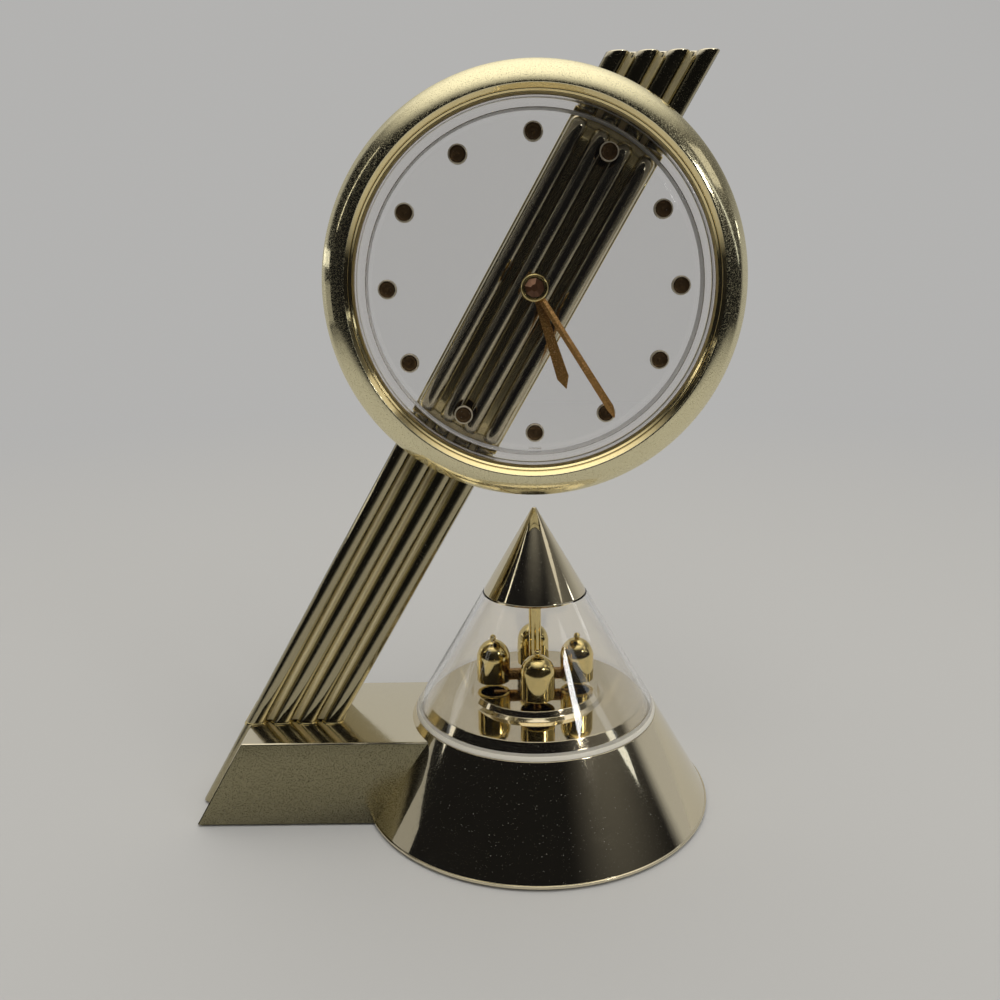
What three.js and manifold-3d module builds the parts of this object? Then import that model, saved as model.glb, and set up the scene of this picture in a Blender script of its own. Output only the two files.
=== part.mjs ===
// Table clock with a leaning ribbed post, a see-through round dial and a cone that holds a rotary pendulum.
// Millimetres, +Z up, the front faces -Y. Sizes are measured from the cone's axis on the table, and at the
// end the clock is moved so that its origin is the middle of its own footprint, at table height.
import * as THREE from "three";
import { mergeVertices } from "three/addons/utils/BufferGeometryUtils.js";
import Module from "manifold-3d";

const wasm = await Module();
wasm.setup();

// Clearances
const GAP = 0.3; // between pieces that seat on each other
const RUN = 0.4; // between pieces that turn in each other
const OVER = 1; // how far a cutting tool runs past what it cuts
const CUT_REACH = 420; // longer than the whole clock, for lengths that are cut level afterwards

// Feet, base plate and its screws
const FOOT_HEIGHT = 0.8;
const FOOT_R = 4.5;
const FOOT_TAPER = 0.3;
const FOOT_INSET = 13; // from the cone's bottom edge to the middle of a foot
const FOOT_SPREAD = THREE.MathUtils.degToRad(40.8);
const BOX_FOOT_INSET = 14;
const BOX_SIDE_INSET = 9.2;
const PLATE_T = 2.4;
const SCREW_SHANK_R = 1.4;
const SCREW_HEAD_R = 2.9;
const SCREW_HEAD_T = 1.2;
const SCREW_LENGTH = 11;
const SCREW_POINT = 1;
const SCREW_INSET = 16.2; // from the cone's bottom edge to the middle of a screw
const SCREW_SPREAD = THREE.MathUtils.degToRad(60);
const BOX_SCREW_INSET = 44;
const BOSS_R = 3.4;
const BOSS_COVER = 0.35; // level distance from a boss to the cone's outer face, at the boss's top

// Cone
const CONE_APEX_Z = 124.42; // where the straight side would meet the axis
const CONE_BOTTOM_R = 71.2;
const CONE_LIP = 1; // height of the upright lip round the bottom edge
const CONE_WALL = 2.8; // measured level
const LEDGE_Z = 38.2;
const LEDGE_T = 2.4;
const LEDGE_SHELF = 2.7; // how far the ledge runs inwards past the deck's skirt
const CLEAR_WALL = 2.2; // measured level
const CLEAR_FLANGE_T = 2.5;
const CLEAR_FLANGE_W = 4;
const CLEAR_TOP_Z = 88.1;
const CLEAR_TOP_T = 2.2;
const TIP_WALL = 2.2;
const TIP_END_R = 0.35;

// Mirror deck inside the cone
const DECK_RISE = 5.7; // above the ledge
const DECK_PLAY = 0.6;
const DECK_T = 1.8;
const DISC_RISE = 2.7; // above the deck
const DISC_TOP_R = 25.6;
const DISC_SLOPE = 3.2; // how much wider the disc is at its foot

// Rotary pendulum
const TUBE_R = 2.5;
const TUBE_WALL = 1;
const TUBE_RISE = 11.9; // above the clear cone
const TUBE_CAP_T = 2.7;
const TUBE_EDGE = 0.4;
const NEEDLE_R = 0.7;
const NEEDLE_POINT = 2;
const NEEDLE_FOOT_R = 2.6;
const NEEDLE_FOOT_T = 1;
const WEIGHT_R = 6.8;
const WEIGHT_REACH = 17.2; // from the axis to the middle of a weight
const WEIGHT_RISE = 3.2; // above the disc
const WEIGHT_BODY = 9.6; // straight part, from the open bottom to the dome
const WEIGHT_WALL = 1.5;
const WEIGHT_HOLLOW = 4.6;
const FINIAL_R = 1.3;
const FINIAL_NECK_R = 0.75;
const FINIAL_NECK = 0.7;
const FINIAL_SPAN = 50; // degrees of the ball above and below its middle
const ARM_HEIGHT = 4.3;
const ARM_WIDTH = 3;
const HUB_R = 5;
const MAGNET_R = 7.5;
const MAGNET_T = 2;
const PENDULUM_TURN = THREE.MathUtils.degToRad(1.5); // as the weights stand at rest

// Drive of the pendulum
const BOARD_SEAT = 0.8; // how far each end of the board lies on the ledge
const BOARD_WIDTH = 16;
const BOARD_T = 1.6;
const COIL_R = 11;
const COIL_BORE_R = 3.6;

// Battery bay
const CELL_R = 13.1;
const CELL_LENGTH = 50;
const CELL_EDGE = 0.6;
const CELL_NUB_R = 3.3;
const CELL_NUB = 1.2;
const CELL_X = 28;
const SPRING_LENGTH = 3.8;
const SPRING_R = 5;
const SPRING_TOP_R = 3.5;
const CONTACT_T = 0.5;
const CONTACT_SIDE = 10;
const BAY_CLEAR = 0.6;
const BAY_WALL = 1.5;
const BAY_HEIGHT = 16;
const GRIP_HALF = 5;
const GRIP_PITCH = 2.4;
const GRIP_WIDTH = 1.2;
const GRIP_DEPTH = 0.6;
const GRIP_INSET = 8;

// Box at the left of the cone
const BOX_TOP_Z = 36;
const BOX_HALF_DEPTH = 28.2;
const POST_OVERHANG = 2.93; // how far the post stands out past the box's left side
const BOX_WALL = 2.2;

// Post
const LEAN = THREE.MathUtils.degToRad(29.9);
const POST_WIDTH = 34.2;
const POST_WALL = 2;
const POST_FRONT_Y = -8.6;
const POST_BACK_Y = 10;
const POST_RISE = 26.77; // from the middle of the bridge's upper end to the level top
const RIB_COUNT = 4;
const RIB_MARGIN = 0.1; // flat strip outside the outer ribs
const RIB_FLAT = 2.4; // flat strip between two ribs
const RIB_HEIGHT = 3;
const RIB_STEPS = 8;
const RIB_END_STEPS = 4;

// Ribbed bridge across the ring, which holds the movement
const BRIDGE_EDGE = 0.5; // how much it stands out past the post on each side
const BRIDGE_INSET = 0.2; // from the ring's lip to the bridge's corners
const BRIDGE_RAISE = 1.8; // how far it stands in front of the post's face
const BRIDGE_RIB_END = 3.6; // plain strip between the rib ends and the square end

// Ring head
const RING_Z = 208.4; // height of the dial's centre
const RING_R = 75;
const CREST_INSET = 4.2; // from the outer edge to the crest
const CREST_RISE = 2.5; // above the crystal's face
const BAND_WIDTH = 8.5;
const BAND_EDGE = 0.4;
const LIP_WIDTH = 3.2;
const LIP_STEP = 1.1; // from the crystal's face back to the lip
const LIP_BEVEL = 1;
const LIP_BEVEL_DEPTH = 0.6;
const SPLIT_RISE = 1.5; // from the crystal's flange to where the front ring meets the rear ring
const RING_WALL = 1.9;
const RING_BACK_T = 1.5;
const RING_CORNER = 2.4;
const RING_CORNER_DEPTH = 4.8;
const RING_CHANNEL = 1.8; // wall inside the rear ring that holds the dial
const DIAL_T = 2;
const CRYSTAL_PLAY = 0.4;
const CRYSTAL_RIM = 3.5;
const CRYSTAL_T = 1.6;
const CRYSTAL_EDGE = 0.5;
const CRYSTAL_FLANGE_T = 2.7;
const HEADROOM = 0.6; // between the boss and the crystal
const TAB_HALF = 2.4;
const TAB_DEPTH = 2.4;
const TAB_REACH = 1.2;

// Dial markers and hands
const MARKER_COUNT = 12;
const MARKER_INSET = 6.9; // from the crystal's rim to the circle of the markers
const MARKER_R = 3.45;
const MARKER_HEIGHT = 1.7;
const MARKER_EDGE = 0.5;
const MARKER_RIM = 0.75;
const MARKER_DISH = 1;
const MARKER_DISH_SLOPE = 0.5;
const MARKER_PIP = 0.3;
const MARKER_PIN_R = 1;
const HOUR_ANGLE = THREE.MathUtils.degToRad(162.3);
const MINUTE_ANGLE = THREE.MathUtils.degToRad(147.6);
const HOUR_LENGTH = 38;
const HOUR_POINT = 4.2; // length of the pointed end beyond its shoulders
const HOUR_HALF = 1.35; // half widths at the hub, at the shoulders and at the tip
const HOUR_SHOULDER_HALF = 2.2;
const HOUR_TIP_HALF = 0.15;
const MINUTE_MARGIN = 4.4; // from the minute hand's tip to the crystal's rim
const MINUTE_POINT = 3.9;
const MINUTE_HALF = 1.25;
const MINUTE_SHOULDER_HALF = 1.4;
const MINUTE_TIP_HALF = 0.25;
const MINUTE_TIP_SHIFT = 0.6; // the chisel end runs out to one side
const HAND_T = 0.6;
const HAND_CREASE = 0.45;
const HAND_FLAT = 0.01; // crease where a hand runs under the boss
const HAND_TIP_CREASE = 0.05;
const HAND_SPACE = 1.3; // from one hand's back to the next
const HUB_RING_R = 4.2;
const HAND_LIFT = 2.4; // from the dial's face to the hour hand
const CAP_R = 5;
const CAP_HEIGHT = 3.4;
const CAP_ROUND = 0.9;
const CAP_DISH = 0.6;
const JEWEL_R = 3.5;
const JEWEL_SEAT = 1.4; // depth of the jewel's pocket
const JEWEL_GIRDLE = 0.9;
const JEWEL_SINK = 0.1;
const JEWEL_FACETS = 8;

// Movement
const CASE_PLAY = 1; // between the case and the sides of the bridge
const COVER_PLAY = 1.9; // between the case and the post's back cover
const CASE_UP = 25; // along the post from the dial's centre
const CASE_DOWN = 37;
const CASE_WALL = 1.3;
const NOSE_R = 3.9;
const NOSE_WALL = 1;
const NOSE_OUT = 0.8; // in front of the dial
const PIPE_R = 2.5;
const ARBOR_R = 1.6;
const STAFF_R = 0.7;
const BUSH_WALL = 1.4;
const BUSH_LENGTH = 5;
const BUSH_CLEAR = 2;
const GEAR_T = 1.5;
const MOTION_MODULE = 0.5;
const HOUR_MODULE = 0.48;
const PRESSURE_ANGLE = THREE.MathUtils.degToRad(20);
const TOOTH_TIP = 0.8; // in modules, beyond the pitch circle and below it
const TOOTH_ROOT = 1.1;
const TOOTH_SHARE = 0.44; // of the pitch that a tooth takes, which leaves it play
const CANNON_TEETH = 12;
const MINUTE_TEETH = 36;
const PINION_TEETH = 10;
const HOUR_TEETH = 40;
const SET_TEETH = 18;
const SET_SHAFT_R = 1.5;
const SET_SHAFT_OUT = 2;
const KNOB_R = 6.5;
const KNOB_T = 5.5;
const KNOB_FLUTES = 12;
const KNOB_FLUTE_DEPTH = 0.7;
const MOTOR_CLEAR = 6; // from the hour wheel to the motor's middle
const MOTOR_COIL_R = 3.6;
const MOTOR_END_T = 3;
const MOTOR_END_HALF = 4.5;

// Lead from the pendulum's board to the movement
const LEAD_R = 1;
const LEAD_HOLE_Z = 16;
const LEAD_STEP = 8;
const LEAD_SIDES = 6;

// Smoothness of round pieces
const ROUND_LARGE = 48;
const ROUND_CELL = 28;
const ROUND_MEDIUM = 24;
const ROUND_SMALL = 16;
const ROUND_TINY = 12;
const ROUND_MARKER = 10;

// Sizes that follow from the ones above, first the base
const BASE_Z = FOOT_HEIGHT + GAP;
const PLATE_TOP_Z = BASE_Z + PLATE_T;
const TAN_LEAN = Math.tan(LEAN);
const TAN_CONE = CONE_BOTTOM_R / (CONE_APEX_Z - BASE_Z);
const DECK_Z = LEDGE_Z + DECK_RISE;
const DECK_R = coneR(DECK_Z) - CLEAR_WALL - DECK_PLAY;
const DECK_SKIRT_R = coneR(LEDGE_Z + GAP) - CLEAR_FLANGE_W - DECK_PLAY;
const DISC_Z = DECK_Z + DISC_RISE;
const DISC_FOOT_R = DISC_TOP_R + DISC_SLOPE;
const LEDGE_IN_R = DECK_SKIRT_R - DECK_T - LEDGE_SHELF;
const BOARD_HALF = LEDGE_IN_R + BOARD_SEAT;
const BOARD_Z = LEDGE_Z + GAP;
const BOARD_TOP_Z = BOARD_Z + BOARD_T;
const TUBE_BORE_R = TUBE_R - TUBE_WALL;
const TUBE_TOP_Z = CLEAR_TOP_Z + TUBE_RISE;
const WEIGHT_BOTTOM_Z = DISC_Z + WEIGHT_RISE;
const WEIGHT_SHOULDER_Z = WEIGHT_BOTTOM_Z + WEIGHT_BODY;
const CELL_Z = PLATE_TOP_Z + GAP + CELL_R;
const BAY_HALF_X = CELL_R + BAY_CLEAR;
const BAY_LENGTH = SPRING_LENGTH + CELL_LENGTH + CONTACT_T + 2 * GAP;
const BAY_HALF_Y = BAY_LENGTH / 2 + GAP;
const BOX_LEFT_X = (BASE_Z - RING_Z) * TAN_LEAN - POST_WIDTH / 2 / Math.cos(LEAN) + POST_OVERHANG;

// Radii of the ring, from the outside in
const CREST_R = RING_R - CREST_INSET;
const BAND_IN_R = RING_R - BAND_WIDTH;
const LIP_R = BAND_IN_R - LIP_WIDTH;
const FLANGE_R = LIP_R + RING_WALL;
const CRYSTAL_R = LIP_R - CRYSTAL_PLAY;
const SIGHT_R = CRYSTAL_R - CRYSTAL_RIM;
const MARKER_CIRCLE_R = SIGHT_R - MARKER_INSET;
const MARKER_DISH_R = MARKER_R - MARKER_RIM;
const MINUTE_LENGTH = SIGHT_R - MINUTE_MARGIN;

// Post and bridge
const RIB_HALF = (POST_WIDTH - 2 * RIB_MARGIN - (RIB_COUNT - 1) * RIB_FLAT) / (2 * RIB_COUNT);
const RIB_PITCH = 2 * RIB_HALF + RIB_FLAT;
const BRIDGE_WIDTH = POST_WIDTH + 2 * BRIDGE_EDGE;
const BRIDGE_CORNER_R = LIP_R - BRIDGE_INSET;
const BRIDGE_HALF = Math.sqrt(BRIDGE_CORNER_R ** 2 - (BRIDGE_WIDTH / 2) ** 2);
const BRIDGE_FRONT_Y = POST_FRONT_Y - BRIDGE_RAISE;
const POST_COVER_Y = POST_BACK_Y - POST_WALL;
const POST_TOP_Z = RING_Z + BRIDGE_HALF * Math.cos(LEAN) + POST_RISE;

// Levels of the dial, from the back forwards
const RING_BACK_Y = POST_FRONT_Y - RIB_HEIGHT - GAP;
const DIAL_SEAT_Y = RING_BACK_Y - RING_BACK_T;
const DIAL_BACK_Y = DIAL_SEAT_Y - GAP;
const DIAL_FRONT_Y = DIAL_BACK_Y - DIAL_T;
const CRYSTAL_BACK_Y = DIAL_FRONT_Y - GAP;
const FLANGE_FRONT_Y = CRYSTAL_BACK_Y - CRYSTAL_FLANGE_T;
const SPLIT_Y = FLANGE_FRONT_Y - SPLIT_RISE;
const HOUR_HAND_Y = DIAL_FRONT_Y - HAND_LIFT;
const MINUTE_HAND_Y = HOUR_HAND_Y - HAND_T - HAND_SPACE;
const CAP_Y = MINUTE_HAND_Y - HAND_T - GAP;
const CAP_FRONT_Y = CAP_Y - CAP_HEIGHT;
const CRYSTAL_INSIDE_Y = CAP_FRONT_Y - HEADROOM;
const CRYSTAL_FRONT_Y = CRYSTAL_INSIDE_Y - CRYSTAL_T;
const CREST_Y = CRYSTAL_FRONT_Y - CREST_RISE;
const LIP_Y = CRYSTAL_FRONT_Y + LIP_STEP;

// Movement
const CASE_HALF_WIDTH = BRIDGE_WIDTH / 2 - POST_WALL - CASE_PLAY;
const CASE_FRONT_Y = BRIDGE_FRONT_Y + POST_WALL + GAP;
const CASE_BACK_Y = POST_COVER_Y - COVER_PLAY;
const CASE_INSIDE_Y = CASE_FRONT_Y + CASE_WALL;
const COVER_INSIDE_Y = CASE_BACK_Y - CASE_WALL;
const HOUR_LEVEL_Y = CASE_INSIDE_Y + RUN + GEAR_T;
const MOTION_LEVEL_Y = HOUR_LEVEL_Y + RUN + GEAR_T;
const NOSE_END_Y = DIAL_FRONT_Y - NOSE_OUT;
const MOTION_CENTRES = ((CANNON_TEETH + MINUTE_TEETH) * MOTION_MODULE) / 2;
const SET_CENTRES = ((MINUTE_TEETH + SET_TEETH) * MOTION_MODULE) / 2;
const SET_DOWN = MOTION_CENTRES + SET_CENTRES;

// Colours, roughness and metalness of the finishes
const FINISH = {
  plate: { color: 0xd9cba0, roughness: 0.12, metalness: 1 },
  satin: { color: 0xd2c7a4, roughness: 0.32, metalness: 1 },
  gold: { color: 0xd0a648, roughness: 0.14, metalness: 1 },
  bronze: { color: 0x9a6a28, roughness: 0.25, metalness: 1 },
  jewel: { color: 0x2a1c10, roughness: 0.1, metalness: 0.6 },
  clear: { color: 0xe8eef2, roughness: 0.05, metalness: 0, transparent: true, opacity: 0.3 },
  black: { color: 0x1c1c1e, roughness: 0.6, metalness: 0 },
  rubber: { color: 0x141414, roughness: 0.9, metalness: 0 },
  steel: { color: 0xa8abb0, roughness: 0.3, metalness: 1 },
  white: { color: 0xe4e2dc, roughness: 0.5, metalness: 0 },
  copper: { color: 0xb4663a, roughness: 0.35, metalness: 1 },
  board: { color: 0x2f5a34, roughness: 0.5, metalness: 0 },
  cell: { color: 0x30343a, roughness: 0.4, metalness: 0.3 },
};

// Points of an elliptical arc, with angles in degrees.
function arc(cx, cy, rx, ry, from, to, steps) {
  return Array.from({ length: steps + 1 }, (_, i) => {
    const a = THREE.MathUtils.degToRad(from + ((to - from) * i) / steps);
    return [cx + rx * Math.cos(a), cy + ry * Math.sin(a)];
  });
}

function shapeOf(points) {
  return new THREE.Shape(points.map(([x, y]) => new THREE.Vector2(x, y)));
}

function circleShape(radius, steps) {
  return shapeOf(arc(0, 0, radius, radius, 0, 360 - 360 / steps, steps - 1));
}

// A round hole for a shape.
function circlePath(x, y, radius, steps) {
  const points = arc(x, y, radius, radius, 0, 360 - 360 / steps, steps - 1);
  return new THREE.Path(points.map(([px, py]) => new THREE.Vector2(px, py)));
}

function rectangle(x0, y0, x1, y1) {
  return shapeOf([
    [x0, y0],
    [x1, y0],
    [x1, y1],
    [x0, y1],
  ]);
}

// A turned piece about the Y axis from [radius, y] points, which close on themselves or end on the axis.
function turned(profile, steps) {
  const points = profile.map(([r, h]) => new THREE.Vector2(r, h));
  if (THREE.ShapeUtils.area(points) < 0) points.reverse();
  const onAxis = profile[0][0] === 0 && profile[profile.length - 1][0] === 0;
  if (!onAxis) points.push(points[0].clone());
  return new THREE.LatheGeometry(points, steps);
}

// The same about the Z axis, from [radius, z] points.
function turnedUp(profile, steps) {
  return turned(profile, steps).rotateX(Math.PI / 2);
}

// An outline in X and Y, extruded from z0 up to z1.
function extruded(shape, z0, z1) {
  const geometry = new THREE.ExtrudeGeometry(shape, { depth: z1 - z0, bevelEnabled: false });
  return geometry.translate(0, 0, z0);
}

// An outline in X and Z, extruded from yFront back to yBack.
function slab(shape, yFront, yBack) {
  const geometry = new THREE.ExtrudeGeometry(shape, { depth: yBack - yFront, bevelEnabled: false });
  return geometry.rotateX(Math.PI / 2).translate(0, yBack, 0);
}

function block(x0, x1, y0, y1, z0, z1) {
  const geometry = new THREE.BoxGeometry(x1 - x0, y1 - y0, z1 - z0);
  return geometry.translate((x0 + x1) / 2, (y0 + y1) / 2, (z0 + z1) / 2);
}

function cylinderUp(radius, z0, z1, steps) {
  return extruded(circleShape(radius, steps), z0, z1);
}

function cylinderBack(radius, yFront, yBack, steps) {
  return slab(circleShape(radius, steps), yFront, yBack);
}

// A closed geometry as a solid that can be cut and joined.
function solid(geometry) {
  const bare = geometry.clone();
  bare.deleteAttribute("normal");
  bare.deleteAttribute("uv");
  const merged = mergeVertices(bare, 1e-4);
  return new wasm.Manifold(
    new wasm.Mesh({
      numProp: 3,
      vertProperties: merged.attributes.position.array,
      triVerts: new Uint32Array(merged.index.array),
    }),
  );
}

function geometryOf(made) {
  const mesh = made.getMesh();
  const geometry = new THREE.BufferGeometry();
  geometry.setAttribute("position", new THREE.BufferAttribute(new Float32Array(mesh.vertProperties), 3));
  geometry.setIndex(new THREE.BufferAttribute(new Uint32Array(mesh.triVerts), 1));
  const loose = geometry.toNonIndexed();
  loose.computeVertexNormals();
  return loose;
}

function joined(...geometries) {
  return geometryOf(geometries.map(solid).reduce((a, b) => a.add(b)));
}

function cut(geometry, ...tools) {
  return geometryOf(tools.map(solid).reduce((a, b) => a.subtract(b), solid(geometry)));
}

function common(geometry, other) {
  return geometryOf(solid(geometry).intersect(solid(other)));
}

function piece(name, geometry, finish) {
  const mesh = new THREE.Mesh(geometry, new THREE.MeshStandardMaterial(FINISH[finish]));
  mesh.name = name;
  return mesh;
}

// Outer radius of the cone at a height, on one straight line from the bottom edge to the tip.
function coneR(z) {
  return CONE_BOTTOM_R - (z - BASE_Z) * TAN_CONE;
}

function coneZ(radius) {
  return BASE_Z + (CONE_BOTTOM_R - radius) / TAN_CONE;
}

// A place under the cone, as [x, y], at a distance in from its bottom edge and an angle from +X.
function underCone(inset, angle) {
  const r = CONE_BOTTOM_R - inset;
  return [r * Math.cos(angle), r * Math.sin(angle)];
}

// A place under the box, on the given side of its middle.
function underBox(inset, side) {
  return [BOX_LEFT_X + inset, side * (BOX_HALF_DEPTH - BOX_SIDE_INSET)];
}

const SCREW_PLACES = [
  underCone(SCREW_INSET, -SCREW_SPREAD),
  underCone(SCREW_INSET, SCREW_SPREAD),
  underBox(BOX_SCREW_INSET, 1),
];
const FOOT_PLACES = [
  underBox(BOX_FOOT_INSET, -1),
  underBox(BOX_FOOT_INSET, 1),
  underCone(FOOT_INSET, -FOOT_SPREAD),
  underCone(FOOT_INSET, FOOT_SPREAD),
];

function screwBoss([x, y], topZ) {
  return cut(
    cylinderUp(BOSS_R, PLATE_TOP_Z + GAP, topZ, ROUND_TINY),
    cylinderUp(SCREW_SHANK_R + GAP, PLATE_TOP_Z, BASE_Z + SCREW_LENGTH + OVER, ROUND_TINY),
  ).translate(x, y, 0);
}

function baseConeShell() {
  const ledgeBottom = LEDGE_Z - LEDGE_T;
  const wall = turnedUp(
    [
      [CONE_BOTTOM_R, BASE_Z],
      [CONE_BOTTOM_R, BASE_Z + CONE_LIP],
      [coneR(BASE_Z + CONE_LIP), BASE_Z + CONE_LIP],
      [coneR(LEDGE_Z), LEDGE_Z],
      [LEDGE_IN_R, LEDGE_Z],
      [LEDGE_IN_R, ledgeBottom],
      [coneR(ledgeBottom) - CONE_WALL, ledgeBottom],
      [coneR(BASE_Z) - CONE_WALL, BASE_Z],
    ],
    ROUND_LARGE,
  );
  const bosses = SCREW_PLACES.slice(0, 2).map((place) => {
    const reach = Math.hypot(...place) + BOSS_R + BOSS_COVER;
    return screwBoss(place, coneZ(reach));
  });
  const inner = BOX_HALF_DEPTH - BOX_WALL;
  const doorway = block(-CONE_BOTTOM_R - OVER, 0, -inner, inner, 0, BOX_TOP_Z - BOX_WALL);
  return joined(cut(wall, doorway), ...bosses);
}

function mirrorDeck() {
  const under = DECK_Z - DECK_T;
  return turnedUp(
    [
      [NEEDLE_R + RUN, DISC_Z],
      [DISC_TOP_R, DISC_Z],
      [DISC_FOOT_R, DECK_Z],
      [DECK_R, DECK_Z],
      [DECK_SKIRT_R, LEDGE_Z + GAP],
      [DECK_SKIRT_R - DECK_T, LEDGE_Z + GAP],
      [DECK_R - DECK_T, under],
      [DISC_FOOT_R - DECK_T / 2, under],
      [DISC_TOP_R - DECK_T / 2, DISC_Z - DECK_T],
      [NEEDLE_R + RUN, DISC_Z - DECK_T],
    ],
    ROUND_LARGE,
  );
}

function clearCone() {
  const bottom = LEDGE_Z + GAP;
  const flangeTop = bottom + CLEAR_FLANGE_T;
  const lid = CLEAR_TOP_Z - CLEAR_TOP_T;
  return turnedUp(
    [
      [coneR(bottom), bottom],
      [coneR(CLEAR_TOP_Z), CLEAR_TOP_Z],
      [TUBE_R + TUBE_WALL, CLEAR_TOP_Z],
      [TUBE_R + TUBE_WALL, lid],
      [coneR(lid) - CLEAR_WALL, lid],
      [coneR(flangeTop) - CLEAR_WALL, flangeTop],
      [coneR(bottom) - CLEAR_FLANGE_W, flangeTop],
      [coneR(bottom) - CLEAR_FLANGE_W, bottom],
    ],
    ROUND_LARGE,
  );
}

function coneTip() {
  const bottom = CLEAR_TOP_Z + GAP;
  return turnedUp(
    [
      [0, coneZ(TIP_END_R) + TIP_END_R / 2],
      [TIP_END_R, coneZ(TIP_END_R)],
      [coneR(bottom), bottom],
      [coneR(bottom) - TIP_WALL, bottom],
      [0, coneZ(TIP_WALL)],
    ],
    ROUND_LARGE,
  );
}

// Outline of the post's face with its ribs, from the left edge to the right edge, grown by extra.
function ribbedFace(width, frontY, extra) {
  const points = [[-width / 2 - extra, frontY - extra]];
  for (let i = 0; i < RIB_COUNT; i++) {
    const middle = (i - (RIB_COUNT - 1) / 2) * RIB_PITCH;
    const rib = arc(middle, frontY - extra, RIB_HALF + extra, RIB_HEIGHT, 180, 360, RIB_STEPS);
    points.push(...rib);
  }
  points.push([width / 2 + extra, frontY - extra]);
  return points;
}

// A piece made along the post's own axis, turned to its lean with the dial's centre as origin.
function leaned(geometry) {
  return geometry.rotateY(LEAN).translate(0, 0, RING_Z);
}

function postEnvelope(extra) {
  const half = POST_WIDTH / 2 + extra;
  const outline = [...ribbedFace(POST_WIDTH, POST_FRONT_Y, extra)];
  outline.push([half, POST_BACK_Y + extra], [-half, POST_BACK_Y + extra]);
  return leaned(extruded(shapeOf(outline), -CUT_REACH, CUT_REACH));
}

// A length of the ribbed channel between two stations on the post's axis, cut level at both ends of the post.
function postLength(from, to) {
  const inner = POST_WIDTH / 2 - POST_WALL;
  const outline = [[-POST_WIDTH / 2, POST_BACK_Y], ...ribbedFace(POST_WIDTH, POST_FRONT_Y, 0)];
  outline.push(
    [POST_WIDTH / 2, POST_BACK_Y],
    [inner, POST_BACK_Y],
    [inner, POST_FRONT_Y + POST_WALL],
    [-inner, POST_FRONT_Y + POST_WALL],
    [-inner, POST_BACK_Y],
  );
  return levelled(leaned(extruded(shapeOf(outline), from, to)));
}

function levelled(geometry, topZ = POST_TOP_Z) {
  return common(geometry, block(-CUT_REACH, CUT_REACH, -CUT_REACH, CUT_REACH, BASE_Z, topZ));
}

function postLower() {
  const length = postLength(-CUT_REACH, -BRIDGE_HALF - GAP);
  const middleX = (LEAD_HOLE_Z - RING_Z) * TAN_LEAN;
  const hole = cylinderUp(LEAD_R + 2 * GAP, middleX, middleX + POST_WIDTH, ROUND_TINY).rotateY(Math.PI / 2);
  return cut(length, hole.translate(0, 0, LEAD_HOLE_Z));
}

// The top length is closed by a level cap.
function postUpper() {
  const cap = block(-CUT_REACH, CUT_REACH, -CUT_REACH, CUT_REACH, POST_TOP_Z - POST_WALL, POST_TOP_Z);
  return joined(postLength(BRIDGE_HALF + GAP, CUT_REACH), common(postEnvelope(0), cap));
}

function postBack() {
  const half = POST_WIDTH / 2 - POST_WALL - GAP;
  const shape = rectangle(-half, -CUT_REACH, half, CUT_REACH);
  const plate = levelled(leaned(slab(shape, POST_COVER_Y, POST_BACK_Y)), POST_TOP_Z - POST_WALL - GAP);
  const knobHole = cylinderBack(SET_SHAFT_R + RUN, POST_COVER_Y - OVER, POST_BACK_Y + OVER, ROUND_TINY);
  return cut(plate, leaned(knobHole.translate(0, 0, -SET_DOWN)));
}

// One rounded rib of the bridge, lying in its face.
function bridgeRib(middle) {
  const length = 2 * (BRIDGE_HALF - BRIDGE_RIB_END - RIB_HALF);
  const rib = new THREE.CapsuleGeometry(RIB_HALF, length, RIB_END_STEPS, 2 * RIB_STEPS);
  rib.rotateX(Math.PI / 2).scale(1, RIB_HEIGHT / RIB_HALF, 1);
  return rib.translate(middle, BRIDGE_FRONT_Y, 0);
}

function dialBridge() {
  const half = BRIDGE_WIDTH / 2;
  const inner = half - POST_WALL;
  const channel = shapeOf([
    [-half, POST_BACK_Y],
    [-half, BRIDGE_FRONT_Y],
    [half, BRIDGE_FRONT_Y],
    [half, POST_BACK_Y],
    [inner, POST_BACK_Y],
    [inner, BRIDGE_FRONT_Y + POST_WALL],
    [-inner, BRIDGE_FRONT_Y + POST_WALL],
    [-inner, POST_BACK_Y],
  ]);
  const ribs = Array.from({ length: RIB_COUNT }, (_, i) => bridgeRib((i - (RIB_COUNT - 1) / 2) * RIB_PITCH));
  const front = BRIDGE_FRONT_Y - RIB_HEIGHT - OVER;
  const ribRoom = block(-half, half, front, BRIDGE_FRONT_Y + POST_WALL / 2, -BRIDGE_HALF, BRIDGE_HALF);
  const nose = cylinderBack(NOSE_R + GAP, front, BRIDGE_FRONT_Y + POST_WALL + OVER, ROUND_SMALL);
  const body = joined(extruded(channel, -BRIDGE_HALF, BRIDGE_HALF), common(joined(...ribs), ribRoom));
  return cut(body, nose);
}

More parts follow.
